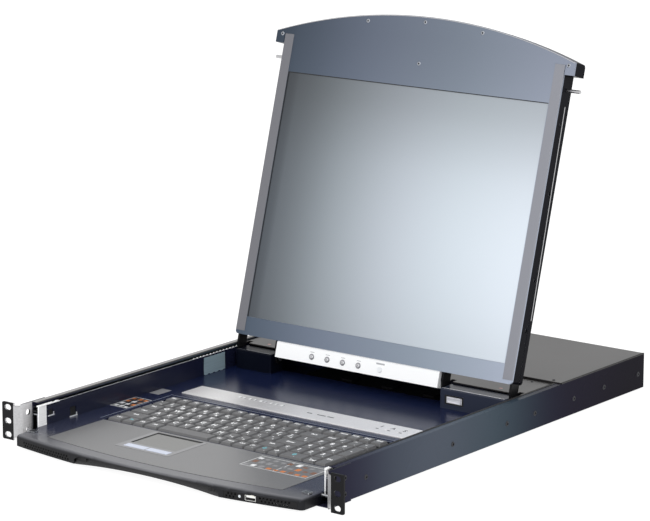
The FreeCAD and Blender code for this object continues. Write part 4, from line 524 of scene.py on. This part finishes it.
# A bare stiffening plate is riveted inside each wall before the hinges, and the release strap of
# the slide lies on the front of the wall. Over the plate the slide's ball retainer shows.
straps, plates, retainers, chain = [], [], [], []
for side in (-1, 1):
    x0, x1 = sorted((side * (wall_in - 0.0014), side * wall_out))
    straps.append(((x0, 0.018, high.z), (x1, 0.050, high.z + 0.0007)))
    for n in range(3):
        straps.append(((x0, 0.026 + 0.009 * n, high.z + 0.0007), (x1, 0.030 + 0.009 * n, high.z + 0.0013)))
    x0, x1 = sorted((side * (wall_in - 0.0006), side * wall_in))
    plates.append(((x0, 0.307, -0.0055), (x1, 0.346, high.z - 0.0022)))
    for n in range(4):
        plates.append(((x0, 0.3085 + 0.0095 * n, -0.0062), (x1, 0.3135 + 0.0095 * n, -0.0055)))
    x0, x1 = sorted((side * (wall_out - 0.0004), side * (wall_out + 0.0012)))
    retainers.append(((x0, 0.286, high.z - 0.0016), (x1, 0.372, high.z - 0.0004)))
    chain += [(side * (wall_out + 0.0004), 0.290 + 0.0062 * n, high.z) for n in range(14)]
sheet_piece("slide_release_straps", straps, bracket_zinc, "tray")
plate_blue = bare_metal("plate_blue", (0.36, 0.48, 0.54), 0.38, turn=1.0, metallic=0.35)
sheet_piece("wall_stiffeners", plates, plate_blue, "tray")
sheet_piece("ball_retainers", retainers, slide_black, "tray")
grown("retainer_balls", ball_tree, {"Radius": 0.0010}, chain, [(0, 0, 1)] * len(chain), "tray")

# A black strip along the inner edge of both top flanges of the chassis is a painted shade.
flange_shades = []
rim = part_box("slide_outer_right")[1].x + 0.0012
for side in (-1, 1):
    x0, x1 = sorted((side * (rim - 0.0105), side * (rim - 0.0072)))
    flange_shades.append(((x0, 0.0205, 0.0206), (x1, 0.446, 0.0209)))
sheet_piece("flange_shade_strips", flange_shades, black_card, "chassis")


# ======================================================================= front moulding
# The bowed front edge is the deck's own moulding. A soft black insert lines the finger grip, and
# perforated black sheet closes both ends; the right one frames the USB port and the lamp.
grip_rubber = coated("grip_rubber", (0.052, 0.052, 0.054), 0.50, peel=0.2, peel_size=1400.0, specular=0.2)
dress(grip_rubber, "grip_insert")
grille_black = coated("grille_black", (0.010, 0.010, 0.011), 0.40, specular=0.14)
dress(grille_black, "front_grilles")
usb_shell = bare_metal("usb_shell", (0.88, 0.88, 0.86), 0.20, grain=0.0)
dress(usb_shell, "front_usb_port")
lamp_lens = coated("lamp_lens", (0.60, 0.63, 0.66), 0.15, clear=1.0)
dress(lamp_lens, "power_led")

# Black cards follow the bow inside the moulding, behind the perforations and the grip's ends, a painted shade there.
low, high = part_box("front_grilles")
mesh = frame["nodes"]["front_grilles"].data
near = min((v.co for v in mesh.vertices), key=lambda point: point.y)
far = max((v.co for v in mesh.vertices), key=lambda point: abs(point.x))
centre_y = (far.x ** 2 - near.x ** 2 + far.y ** 2 - near.y ** 2) / (2 * (far.y - near.y))
bow = math.hypot(far.x, far.y - centre_y)
bow_shade_cards, bow_shade_start, bow_shade_step = [], 0.086, 0.004
for n in range(28):
    x0, x1 = bow_shade_start + bow_shade_step * n, bow_shade_start + bow_shade_step * (n + 1)
    y = centre_y - math.sqrt(bow ** 2 - x1 ** 2) + 0.0034
    for x0, x1 in ((x0, x1), (-x1, -x0)):
        bow_shade_cards.append(((x0, y, low.z - 0.0008), (x1, y + 0.0006, deck_level - 0.0016)))
sheet_piece("front_painted_shade", bow_shade_cards, black_card, "tray")

low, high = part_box("front_usb_port")
port_centre = (low + high) / 2
sheet_piece("usb_tongue", [((port_centre.x - 0.0055, low.y + 0.0012, port_centre.z + 0.0002),
                            (port_centre.x + 0.0055, low.y + 0.0090, port_centre.z + 0.0017))],
            coated("usb_tongue", (0.72, 0.70, 0.64), 0.5), "tray")


# ======================================================================= palm rest
# An anodised plate with a fine bead-blasted surface, laid in a shallow recess of the deck.
palm_plate = coated("palm_plate", (0.185, 0.185, 0.190), 0.33, metallic=0.35, cloud=0.05, peel=0.10, peel_size=2600.0)
dress(palm_plate, "palm_rest")


# ======================================================================= keyboard
# Low-profile keys of dark grey ABS stand on a black carrier. Each cap is a separate moulding with
# rounded edges, and its legends are printed in white.
carrier = coated("key_carrier", (0.006, 0.006, 0.007), 0.6)
dress(carrier, "keyboard_frame")
key_abs = coated("key_abs", (0.120, 0.120, 0.124), 0.46, peel=0.12, peel_size=2000.0, cloud=0.05)


def softened(name, node, width, material, body):
    """A merged copy of a CAD node with its edges rounded, in place of the node."""
    made = merged(node)
    bmesh.ops.dissolve_limit(made, angle_limit=math.radians(1.0), verts=made.verts, edges=made.edges)
    sharp = [e for e in made.edges if len(e.link_faces) == 2 and e.calc_face_angle() > math.radians(30)]
    bmesh.ops.bevel(made, geom=sharp, offset=width, segments=2, profile=0.6, affect="EDGES", clamp_overlap=True)
    piece = built(name, made, material, body)
    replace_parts(piece, node)
    return piece


key_side_shade = coated("key_side_shade", (0.012, 0.012, 0.013), 0.6, specular=0.2)
for node, body in (("keycaps", "tray"), ("key_space", "space_key"), ("key_enter", "enter_key")):
    caps = softened(node + "_caps", node, 0.0005, key_abs, body)
    caps.data.materials.append(key_side_shade)
    # Painted shade: the cap sides get a near black finish.
    for face in caps.data.polygons:                 # the sides of a cap stay in the shade of its neighbours
        face.material_index = int(face.normal.z < 0.3)

legend_white = coated("legend_white", (0.95, 0.96, 0.97), 0.5)
legend_teal = coated("legend_teal", (0.16, 0.55, 0.62), 0.5)
glyphs = {}


def glyph(words, size):
    """The faces of one printed word, as a thin closed shape centred on the origin."""
    if (words, size) not in glyphs:
        curve = bpy.data.curves.new("word", "FONT")
        curve.body = words
        curve.size = size
        curve.align_x = "CENTER"
        curve.align_y = "CENTER"
        curve.resolution_u = 2
        curve.extrude = 0.00003
        curve.offset = size * 0.03
        holder = bpy.data.objects.new("word", curve)
        bpy.context.scene.collection.objects.link(holder)
        seen = bpy.context.evaluated_depsgraph_get()
        glyphs[words, size] = bpy.data.meshes.new_from_object(holder.evaluated_get(seen))
        bpy.data.objects.remove(holder)
    return glyphs[words, size]


def print_word(target, words, size, place):
    """Adds a word to a mesh at a place, given as a 4 x 4 matrix."""
    start = len(target.verts)
    target.from_mesh(glyph(words, size))
    target.verts.ensure_lookup_table()
    for vert in target.verts[start:]:
        vert.co = place @ vert.co


def printed(name, target, material, body):
    """Ends a mesh of printed words as a piece."""
    bmesh.ops.remove_doubles(target, verts=target.verts, dist=1e-7)
    return built(name, target, material, body)


def cap_place(low, high, right=0.0, back=0.0):
    """A place on top of a key cap, measured from its middle."""
    return Matrix.Translation(((low.x + high.x) / 2 + right, (low.y + high.y) / 2 + back, high.z + 0.00001))


BOTTOM_ROW = ["Ctrl", "Fn", "Alt", "Alt", "Gr", "Menu", "Ctrl", "←", "↓", "→", "0", ". Del"]
LETTER_ROWS = [
    ["Shift", "Z", "X", "C", "V", "B", "N", "M", ", <", ". >", "/ ?", "Shift", "↑", "1", "2", "3"],
    ["Caps", "A", "S", "D", "F", "G", "H", "J", "K", "L", "; :", "' \"", "4", "5", "6"],
    ["Tab", "Q", "W", "E", "R", "T", "Y", "U", "I", "O", "P", "[ {", "] }", "\\ |", "7", "8", "9"],
    ["` ~", "1 !", "2 @", "3 #", "4 $", "5 %", "6 ^", "7 &", "8 *", "9 (", "0 )", "- _", "= +", "Back", "Num", "/",
     "*", "-"],
]
FUNCTION_ROW = ["Esc", "F1", "F2", "F3", "F4", "F5", "F6", "F7", "F8", "F9", "F10", "F11", "F12", "Prt", "Ins", "Home",
                "PgUp", "Del", "End"]
caps = [extent(solid) for solid in islands("keycaps")]
one_row = 0.022                                 # the tall keys of the number pad are deeper than this
deep = [cap for cap in caps if cap[1].y - cap[0].y > one_row]
rows = {}
for low, high in caps:
    if high.y - low.y <= one_row:
        rows.setdefault(round((low.y + high.y) / 0.004), []).append((low, high))
rows = [sorted(rows[key], key=lambda cap: cap[0].x) for key in sorted(rows)]
white, teal = bmesh.new(), bmesh.new()
for row, words in zip(rows, [BOTTOM_ROW] + LETTER_ROWS + [FUNCTION_ROW]):
    for (low, high), word in zip(row, words):
        marks = word.split(" ")
        single = len(marks[0]) == 1
        size = 0.0088 if single else 0.0052 if len(marks[0]) < 4 else 0.0044
        ink = teal if row is rows[0] and word in ("Fn", "↓", "0") else white
        print_word(ink, marks[0], size, cap_place(low, high, -0.0016 * single, 0.0018))
        if len(marks) > 1 or single:
            small = marks[1] if len(marks) > 1 else "."
            print_word(white, small, 0.0056, cap_place(low, high, 0.0034, -0.0044))
for (low, high), word in zip(sorted(deep, key=lambda cap: cap[0].y), ("Ent", "+")):
    print_word(white, word, 0.0052, cap_place(low, high))
printed("key_legends", white, legend_white, "tray")
printed("key_legends_teal", teal, legend_teal, "tray")
enter_word = bmesh.new()
print_word(enter_word, "Enter", 0.0052, cap_place(*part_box("key_enter")))
printed("enter_legend", enter_word, legend_white, "enter_key")


# ======================================================================= touchpad
# A matt polyester surface in a grey frame, with two satin buttons in front of it.
pad_rim = coated("pad_rim", (0.26, 0.26, 0.27), 0.33, metallic=0.35)
pad_face = coated("pad_face", (0.200, 0.200, 0.195), 0.40, peel=0.1, peel_size=3000.0)
pad_key = coated("pad_key", (0.52, 0.57, 0.70), 0.25, clear=0.4)
dress(pad_rim, "touchpad_frame")
dress(pad_face, "touchpad_pad")
dress(pad_key, "touchpad_button_left", "touchpad_button_right")
low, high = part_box("touchpad_button_left")
split = (high.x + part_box("touchpad_button_right")[0].x) / 2
sheet_piece("pad_key_gap", [((split - 0.0006, low.y, high.z - 0.0005), (split + 0.0006, high.y, high.z + 0.00004))],
            palm_plate, "tray")
low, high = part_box("touchpad_pad")
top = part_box("touchpad_frame")[1].z
under, over, seam = top - 0.0002, top + 0.00005, high.y - 0.0004
sheet_piece("pad_gasket", [((low.x - 0.0020, seam, under), (high.x + 0.0010, high.y + 0.0030, over)),
                           ((low.x - 0.0020, low.y, under), (low.x, seam, over))], black_card, "tray")


# ======================================================================= label strip
# A brushed aluminium strip behind the keyboard, with three lamp windows and short printed marks.


def strip_painted_sheen(tree):
    """Painted sheen: the brushed face is painted brighter and darker along its length, duller towards its left end."""
    return graded(tree, [(0.0, (0.60, 0.59, 0.60)), (0.10, (0.80, 0.79, 0.79)), (0.20, (0.78, 0.77, 0.77)),
                         (0.26, (0.60, 0.59, 0.60)), (0.42, (0.76, 0.75, 0.76)), (0.52, (0.86, 0.85, 0.86)),
                         (1.0, (0.84, 0.83, 0.84))], -0.169, 0.169, "X")


strip_metal = coated("strip_metal", (1, 1, 1), 0.40, metallic=0.55, cloud=0.25, cloud_size=420.0, peel=0.12,
                     peel_size=2600.0, tone_and_light=strip_painted_sheen)
dress(strip_metal, "label_strip")
low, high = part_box("label_strip")
strip_top = high.z + 0.00001
strip_middle = (low.y + high.y) / 2
pale, dark = bmesh.new(), bmesh.new()


def strip_mark(target, x0, x1, y0, y1):
    """A short printed mark, with y measured from the middle line of the strip."""
    slab(target, (x0, strip_middle + y0, strip_top - 0.0001), (x1, strip_middle + y1, strip_top + 0.00004))


for n, width in enumerate((0.0040, 0.0018, 0.0030, 0.0022, 0.0040, 0.0016, 0.0030, 0.0024, 0.0036)):
    at = -0.104 + 0.0078 * n
    strip_mark(pale, at, at + width, 0.005, 0.009)
    # the dark bar on the right of each pale mark is its painted shadow
    strip_mark(dark, at + width, at + width + 0.0010, 0.0046, 0.0086)
for n, width in enumerate((0.007, 0.012, 0.009)):
    at = 0.002 + 0.0145 * n
    strip_mark(dark, at, at + width, -0.001, 0.0012)
for n, word in enumerate(("1", "A", "S")):
    print_word(dark, word, 0.0085, Matrix.Translation((high.x - 0.064 + 0.016 * n, strip_middle + 0.0045, strip_top)))
    strip_mark(dark, high.x - 0.066 + 0.016 * n, high.x - 0.062 + 0.016 * n, -0.006, -0.004)
strip_ink_and_shadow = coated("strip_ink_and_shadow", (0.030, 0.032, 0.040), 0.5)
printed("strip_marks_pale", pale, legend_white, "tray")
printed("strip_marks_dark", dark, strip_ink_and_shadow, "tray")


# ======================================================================= stickers
# Two blank paper labels: a dark one with a white border on the deck left of the keys, and one in
# a thin white frame on the palm rest. Both carry plain blocks of colour, and no words.
label_dark = coated("label_dark", (0.012, 0.013, 0.020), 0.4)
label_white = coated("label_white", (0.78, 0.79, 0.80), 0.5)
label_orange = coated("label_orange", (0.55, 0.17, 0.04), 0.5)
label_brown = coated("label_brown", (0.20, 0.09, 0.05), 0.5)
label_grey = coated("label_grey", (0.25, 0.25, 0.26), 0.5)
random.seed(11)


def blank_label(name, x0, x1, y0, y1, z, columns, rows, shades):
    """A sheet with a white border line and rows of plain blocks."""
    sheet_piece(name + "_sheet", [((x0, y0, z - 0.0002), (x1, y1, z + 0.00005))], shades[0], "tray")
    line, over = 0.0007, z + 0.0001
    border = [((x0, y0, z), (x1, y0 + line, over)), ((x0, y1 - line, z), (x1, y1, over)),
              ((x0, y0 + line, z), (x0 + line, y1 - line, over)), ((x1 - line, y0 + line, z), (x1, y1 - line, over)),
              (((x0 + x1) / 2, y0 + line, z), ((x0 + x1) / 2 + line, y1 - line, over))]
    sheet_piece(name + "_border", border, label_white, "tray")
    blocks = {shade.name: (shade, []) for shade in shades[1:]}
    wide, deep = (x1 - x0) / columns, (y1 - y0) / rows
    for column in range(columns):
        for row in range(rows):
            shade = random.choice(shades[1:])
            left = x0 + wide * (column + 0.14 + 0.2 * random.random())
            near = y0 + deep * (row + 0.2)
            block = ((left, near, z), (left + wide * 0.6, near + deep * (0.3 + 0.3 * random.random()), over))
            blocks[shade.name][1].append(block)
    for shade, boxes in blocks.values():
        sheet_piece(name + "_" + shade.name, boxes, shade, "tray")


blank_label("deck_label", -0.2015, -0.1765, 0.136, 0.181, deck_level, 3, 4,
            [label_dark, label_white, label_orange, label_brown, label_white])
sheet_piece("deck_patch", [((-0.2015, 0.205, deck_level - 0.0002), (-0.187, 0.229, deck_level + 0.00005))], label_grey,
            "tray")
palm_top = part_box("palm_rest")[1].z
blank_label("palm_label", 0.070, 0.160, 0.038, 0.078, palm_top, 9, 3,
            [palm_plate, label_grey, label_orange, label_white, label_grey, label_brown])


# ======================================================================= hinges
# Two friction hinges carry the screen on four steel arms. Moulded covers hide their barrels, and the
# right cover holds the square service connector.
# Both covers share one moulding; the left one gets a darker copy of the right one's coat, a painted shade.
hinge_cover_shaded = coated("hinge_cover_shaded", (0.003, 0.004, 0.009), 0.30, peel=0.08, specular=0.06)
dress(hinge_cover_shaded, "hinge_cover_left")
hinge_cover_lit = coated("hinge_cover_lit", (0.018, 0.023, 0.042), 0.30, peel=0.08, specular=0.3)
dress(hinge_cover_lit, "hinge_cover_right")
hinge_black = coated("hinge_black", (0.005, 0.005, 0.006), 0.35, specular=0.12)
dress(hinge_black, "hinge_arms")
hinge_zinc = bare_metal("hinge_zinc", (0.45, 0.46, 0.48), 0.35)
dress(hinge_zinc, "hinge_shafts", "friction_hinges")
service_metal = bare_metal("service_metal", (0.80, 0.80, 0.84), 0.35, metallic=0.4)
dress(service_metal, "service_port")
low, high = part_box("service_port")
front, back, flank = low.y + 0.0013, low.y + 0.0019, 0.0022
foot, head = low.z + 0.0016, high.z - 0.0016    # a black border lies round the mouth of the connector
edge = [((low.x, front, low.z), (high.x, back, foot)), ((low.x, front, head), (high.x, back, high.z)),
        ((low.x, front, foot), (low.x + flank, back, head)), ((high.x - flank, front, foot), (high.x, back, head))]
sheet_piece("service_port_mask", edge, black_card, "tray")
# A bright strip along the top of each hinge cover is a painted highlight on its edge.
for name, cover, metal in (("hinge_cover_highlights", "hinge_cover_right", painted_edge_highlight),
                           ("hinge_cover_highlight_left", "hinge_cover_left", slide_zinc)):
    low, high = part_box(cover)
    strip = ((low.x + 0.002, low.y + 0.0022, high.z - 0.0001), (high.x - 0.002, low.y + 0.0030, high.z + 0.0002))
    sheet_piece(name, [strip], metal, "tray")


# ======================================================================= tray rear bay
# A thin lid over the controller bay behind the hinges, in the same coat as the chassis. Under it
# lies the controller board, in a near black that paints the shade under the control bar.
dress(slate_lid, "tray_rear_cover")
controller_board_shade = coated("controller_board_shade", (0.004, 0.004, 0.005), 0.5, specular=0.1)
dress(controller_board_shade, "controller_board")
low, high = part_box("tray_rear_cover")
lid_top = high.z
dots = [((x, y, lid_top - 0.0001), (x + 0.004, y + 0.003, lid_top + 0.0001))
        for x, y in ((-0.173, 0.392), (-0.150, 0.390), (0.166, 0.392))]
label_rose = coated("label_rose", (0.62, 0.32, 0.30), 0.5)
sheet_piece("lid_dots", dots, label_rose, "tray")
lid_screws = [(x, high.y - 0.006, lid_top) for x in (-0.18, -0.09, 0.0, 0.09, 0.18)]
grown("lid_screw_heads", black_heads, {"Radius": 0.0018, "Height": 0.0006, "Socket": 0.0008, "Sunk": 0.0004},
      lid_screws, [(0, 0, 1)] * len(lid_screws), "tray")
low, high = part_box("rear_top_cover")
sheet_piece("lid_seam", [((side * high.x - 0.0018 * (side > 0), low.y, high.z - 0.0002),
                         (side * high.x + 0.0018 * (side < 0), high.y, high.z + 0.0001)) for side in (-1, 1)],
            black_card, "chassis")
cover_screws = [(x, low.y + 0.007, high.z) for x in (-0.2, -0.12, -0.04, 0.04, 0.12, 0.2)]
grown("cover_screw_heads", black_heads, {"Radius": 0.0022, "Height": 0.0007, "Socket": 0.0010, "Sunk": 0.0004},
      cover_screws, [(0, 0, 1)] * len(cover_screws), "chassis")


# ======================================================================= screen
# The screen is a metallic front plate on a black frame, with a steel mounting plate between frame and
# rear shell. All of it leans on the hinge, so its parts are placed up the screen and in depth.
hinge = next(j for j in frame["joints"] if j["name"] == "lcd_hinge")
leaning = Matrix.Translation(hinge["pos_m"]) @ Matrix.Rotation(math.radians(-15.75), 4, "X")
on_screen = leaning @ Matrix.Translation((0, -0.01415, 0.0210))


def bezel_painted_reflection(tree):
    """Painted reflection: the metallic paint is painted brighter towards the right and darker towards the handle."""
    sideways = graded(tree, [(0.0, (0.040, 0.062, 0.095)), (0.08, (0.056, 0.082, 0.118)), (0.29, (0.156, 0.190, 0.258)),
                             (0.5, (0.218, 0.258, 0.326)), (0.71, (0.268, 0.322, 0.387)), (1.0, (0.390, 0.430, 0.530))],
                      -0.215, 0.215, "X")
    upwards = graded(tree, [(0.0, 1.0), (0.5, 0.85), (0.81, (0.70, 0.70, 0.71)), (1.0, (0.55, 0.55, 0.57))],
                     0.02, 0.40, "Z")
    return shaded(tree, sideways, upwards)


bezel_paint = coated("bezel_paint", (1, 1, 1), 0.40, metallic=0.45, cloud=0.04, peel=0.06, peel_size=2400.0,
                     tone_and_light=bezel_painted_reflection)
dress(bezel_paint, "lcd_bezel")
frame_black = coated("frame_black", (0.0035, 0.0035, 0.006), 0.35, specular=0.04)
dress(frame_black, "lcd_frame", "lcd_rear_shell")
plate_steel = bare_metal("plate_steel", (0.75, 0.76, 0.78), 0.3)
dress(plate_steel, "lcd_panel")


def side_strip_painted_light(tree):
    """Painted light: the right-hand strip is painted brighter than the left-hand one."""
    return graded(tree, [(0.0, (0.138, 0.138, 0.152)), (1.0, (0.255, 0.262, 0.295))], -0.2, 0.2, "X")


side_strip = coated("side_strip", (1, 1, 1), 0.40, metallic=0.5, cloud=0.03, peel=0.08, peel_size=2400.0,
                    tone_and_light=side_strip_painted_light)
dress(side_strip, "lcd_side_strips")
pin_chrome = bare_metal("pin_chrome", (0.50, 0.50, 0.51), 0.28, grain=0.0)
dress(pin_chrome, "lock_pin_left", "lock_pin_right")


def glass_painted_reflection(tree):
    """Painted reflection: the matt film is painted brighter from the upper left to the lower right."""
    sideways = graded(tree, [(0.0, (0.045, 0.055, 0.068)), (0.045, (0.057, 0.068, 0.083)),
                             (0.26, (0.241, 0.277, 0.305)), (0.5, (0.440, 0.482, 0.539)),
                             (0.74, (0.545, 0.613, 0.669)), (1.0, (0.625, 0.680, 0.750))], -0.187, 0.187, "X")
    upwards = graded(tree, [(0.0, 0.91), (0.2, 1.0), (0.45, 1.0), (0.68, 0.88), (0.86, 0.62), (1.0, 0.48)],
                     0.05, 0.345, "Z")
    return shaded(tree, sideways, upwards)


screen_film = coated("screen_film", (1, 1, 1), 0.42, cloud=0.015, peel=0.02, peel_size=4000.0, tone_and_light=glass_painted_reflection)
dress(screen_film, "lcd_glass")

# Recessed machine screws hold the front plate and the sides: a bright washer with a dark socket head.
screw_zinc = bare_metal("screw_zinc", (0.42, 0.44, 0.48), 0.3)
washers = socket_screw("bright_washer", screw_zinc)
flat = on_screen.inverted()


def screen_box(name):
    """The box of a CAD node in the screen's own upright frame."""
    return extent([flat @ Vector(v.co) for v in frame["nodes"][name].data.vertices])


rims, heads, ways, side_marks = [], [], [], []
for solid in islands("lcd_screws"):
    low, high = extent([flat @ Vector(point) for point in solid])
    middle = (low + high) / 2
    if high.y - low.y > high.x - low.x:
        side = 1 if middle.x > 0 else -1
        outer = Vector((high.x if side > 0 else low.x, middle.y, middle.z))
        way = Vector((side, 0, 0))
        side_marks.append(Vector((abs(outer.x), middle.y, middle.z)))
        outer -= way * 0.0005
        sunk = 0.0009
    else:
        way = Vector((0, -1, 0))
        outer = Vector((middle.x, low.y, middle.z)) + way * 0.0005
        sunk = 0.0006
    rims.append(on_screen @ (outer - way * sunk))
    heads.append(on_screen @ (outer - way * 0.0001))
    ways.append(on_screen.to_3x3() @ way)
rim_piece = grown("lcd_screw_rims", washers, {"Radius": 0.0029, "Height": 0.0007, "Socket": 0.0013, "Sunk": 0.0004},
                  rims, ways, "screen")
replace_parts(rim_piece, "lcd_screws")
grown("lcd_screw_sockets", black_heads, {"Radius": 0.0012, "Height": 0.0003, "Socket": 0.0006, "Sunk": 0.0002},
      heads, ways, "screen")

# A bright rib runs along each side of the screen beside the screws, leaning back towards its foot.
rib_silver = coated("rib_silver", (0.42, 0.42, 0.43), 0.35, metallic=0.3)
head = max(side_marks, key=lambda mark: mark.z)
foot = min(side_marks, key=lambda mark: mark.z)
reach = head.z - foot.z
middle = Vector((0, head.y + 0.0050, foot.z + 0.57 * reach))
ribs = [((x, -0.0006, -0.52 * reach), (x + 0.0003, 0.0006, 0.52 * reach))
        for x in (-head.x - 0.0007, head.x + 0.0004)]
sheet_piece("side_ribs", ribs, rib_silver, "screen",
            place=on_screen @ Matrix.Translation(middle) @ Matrix.Rotation(0.016, 4, "X"))

# A hairline gasket is set round the glass. A bright strip along the arch is a painted highlight on the front plate's
# bevelled edge.
low, high = screen_box("lcd_glass")
gasket = [((low.x - 0.0002, -0.0001, low.z), (low.x + 0.0007, low.y + 0.0004, high.z)),
          ((low.x, -0.0001, high.z - 0.0007), (high.x, low.y + 0.0004, high.z + 0.0002))]
sheet_piece("glass_gasket", gasket, black_card, "screen", place=on_screen)

front_face = [flat @ Vector(v.co) for v in frame["nodes"]["lcd_bezel"].data.vertices]
front_level = min(point.y for point in front_face)
half = max(point.x for point in front_face)
apex = max(point.z for point in front_face)
sag = apex - max(point.z for point in front_face if point.x > half - 0.0005)
radius = (half ** 2 + sag ** 2) / (2 * sag)
line = bmesh.new()
rings = []
for n in range(61):
    x = (half - 0.0006) * (n / 30 - 1)
    z = apex - radius + math.sqrt(radius ** 2 - x ** 2)
    rings.append([line.verts.new((x, front_level + rise, z - fall)) for rise, fall in
                  ((-0.0002, 0.0007), (-0.0002, 0.0013), (0.0001, 0.0013), (0.0001, 0.0007))])
for one, two in zip(rings, rings[1:]):
    for n in range(4):
        line.faces.new((one[n], one[n - 3], two[n - 3], two[n]))
line.faces.new(rings[0][::-1])
line.faces.new(rings[-1])
bmesh.ops.recalc_face_normals(line, faces=line.faces)
line.transform(on_screen)
arch_painted_highlight = coated("arch_painted_highlight", (0.50, 0.49, 0.50), 0.35, metallic=0.3)
built("arch_edge_highlight", line, arch_painted_highlight, "screen")


# ======================================================================= control bar
# A glossy white bar between the hinges, with five round buttons in plated plastic.
bar_gloss = coated("bar_gloss", (0.93, 0.94, 0.95), 0.2, cloud=0.01, peel=0.01, clear=0.5)
dress(bar_gloss, "control_bar")
button_silver = bare_metal("button_silver", (0.30, 0.30, 0.32), 0.28)
button_cap = bare_metal("button_cap", (0.62, 0.62, 0.64), 0.35)
cap_tree = socket_screw("button_face", button_cap)
for number in range(1, 5):
    name = "menu_button_%d" % number
    dress(button_silver, name)
    low, high = screen_box(name)
    seat = on_screen @ Vector(((low.x + high.x) / 2, low.y + 0.0001, (low.z + high.z) / 2))
    grown("button_face_%d" % number, cap_tree, {"Radius": 0.0024, "Height": 0.0003, "Socket": 0.0010, "Sunk": 0.0002},
          [seat], [on_screen.to_3x3() @ Vector((0, -1, 0))], "menu_%d" % number)
button_white = coated("button_white", (0.80, 0.82, 0.84), 0.3)
dress(button_white, "menu_button_5")
mark_grey = coated("mark_grey", (0.42, 0.43, 0.45), 0.5)
bar_face = screen_box("control_bar")[0].y
marks = []
for number in range(1, 6):
    low, high = screen_box("menu_button_%d" % number)
    middle = (low.x + high.x) / 2
    reach, foot, head = (0.0030, 0.0006, 0.0014) if number < 5 else (0.0060, 0.0012, 0.0032)
    marks.append(((middle - reach, bar_face - 0.00004, high.z + foot),
                  (middle + reach, bar_face + 0.0001, high.z + head)))
sheet_piece("bar_marks", marks, mark_grey, "screen", place=on_screen)


# ======================================================================= studio
# A pale acrylic sweep, lit softly from below, with a broad key light above and a fill in front. The
# camera stands in front to the right.
floor_paint = coated("studio_floor", (0.22, 0.22, 0.22), 0.9, cloud=0.0, peel=0.0, specular=0.0)
fill(floor_paint.node_tree, floor_paint.node_tree.nodes["Principled BSDF"],
     {"Emission Color": (1.0, 1.0, 1.0, 1.0), "Emission Strength": 0.92})
ground = bmesh.new()
for x, y in ((-14, -8), (14, -8), (14, 30), (-14, 30)):
    ground.verts.new((x, y, cad_box[0][2] - 0.0003))
ground.faces.new(ground.verts)
ground_mesh = bpy.data.meshes.new("studio_floor")
ground.to_mesh(ground_mesh)
ground.free()
ground_mesh.materials.append(floor_paint)
studio_floor = bpy.data.objects.new("studio_floor", ground_mesh)
bpy.context.scene.collection.objects.link(studio_floor)

world = bpy.data.worlds.new("studio")
bpy.context.scene.world = world
world.use_nodes = True
fill(world.node_tree, world.node_tree.nodes["Background"], {"Color": (1.0, 1.0, 1.0, 1.0), "Strength": 1.0})


def softbox(name, place, aim, width, height, watts):
    lamp = bpy.data.lights.new(name, "AREA")
    lamp.shape = "RECTANGLE"
    lamp.size = width
    lamp.size_y = height
    lamp.energy = watts
    holder = bpy.data.objects.new(name, lamp)
    bpy.context.scene.collection.objects.link(holder)
    holder.location = place
    holder.rotation_euler = (Vector(aim) - Vector(place)).to_track_quat("-Z", "Y").to_euler()


softbox("key_light", (1.2, -1.0, 2.2), (0.0, 0.3, 0.0), 1.6, 1.6, 12.0)
softbox("front_fill", (0.4, -3.6, 1.3), (0.0, 0.3, 0.2), 2.4, 2.0, 42.0)

camera = bpy.data.cameras.new("camera")
camera.sensor_width = 36.0
camera.lens = 170.25
camera.clip_start = 0.05
camera.clip_end = 100.0
holder = bpy.data.objects.new("camera", camera)
bpy.context.scene.collection.objects.link(holder)
aim = (Matrix.Rotation(math.radians(37.4147), 3, "Z") @ Matrix.Rotation(math.radians(90 - 12.5043), 3, "X")
       @ Matrix.Rotation(math.radians(0.0632), 3, "Z"))
holder.matrix_world = Matrix.Translation((2.0795, -2.4376, 0.9257)) @ aim.to_4x4()
bpy.context.scene.camera = holder
bpy.context.scene.view_settings.view_transform = "Standard"
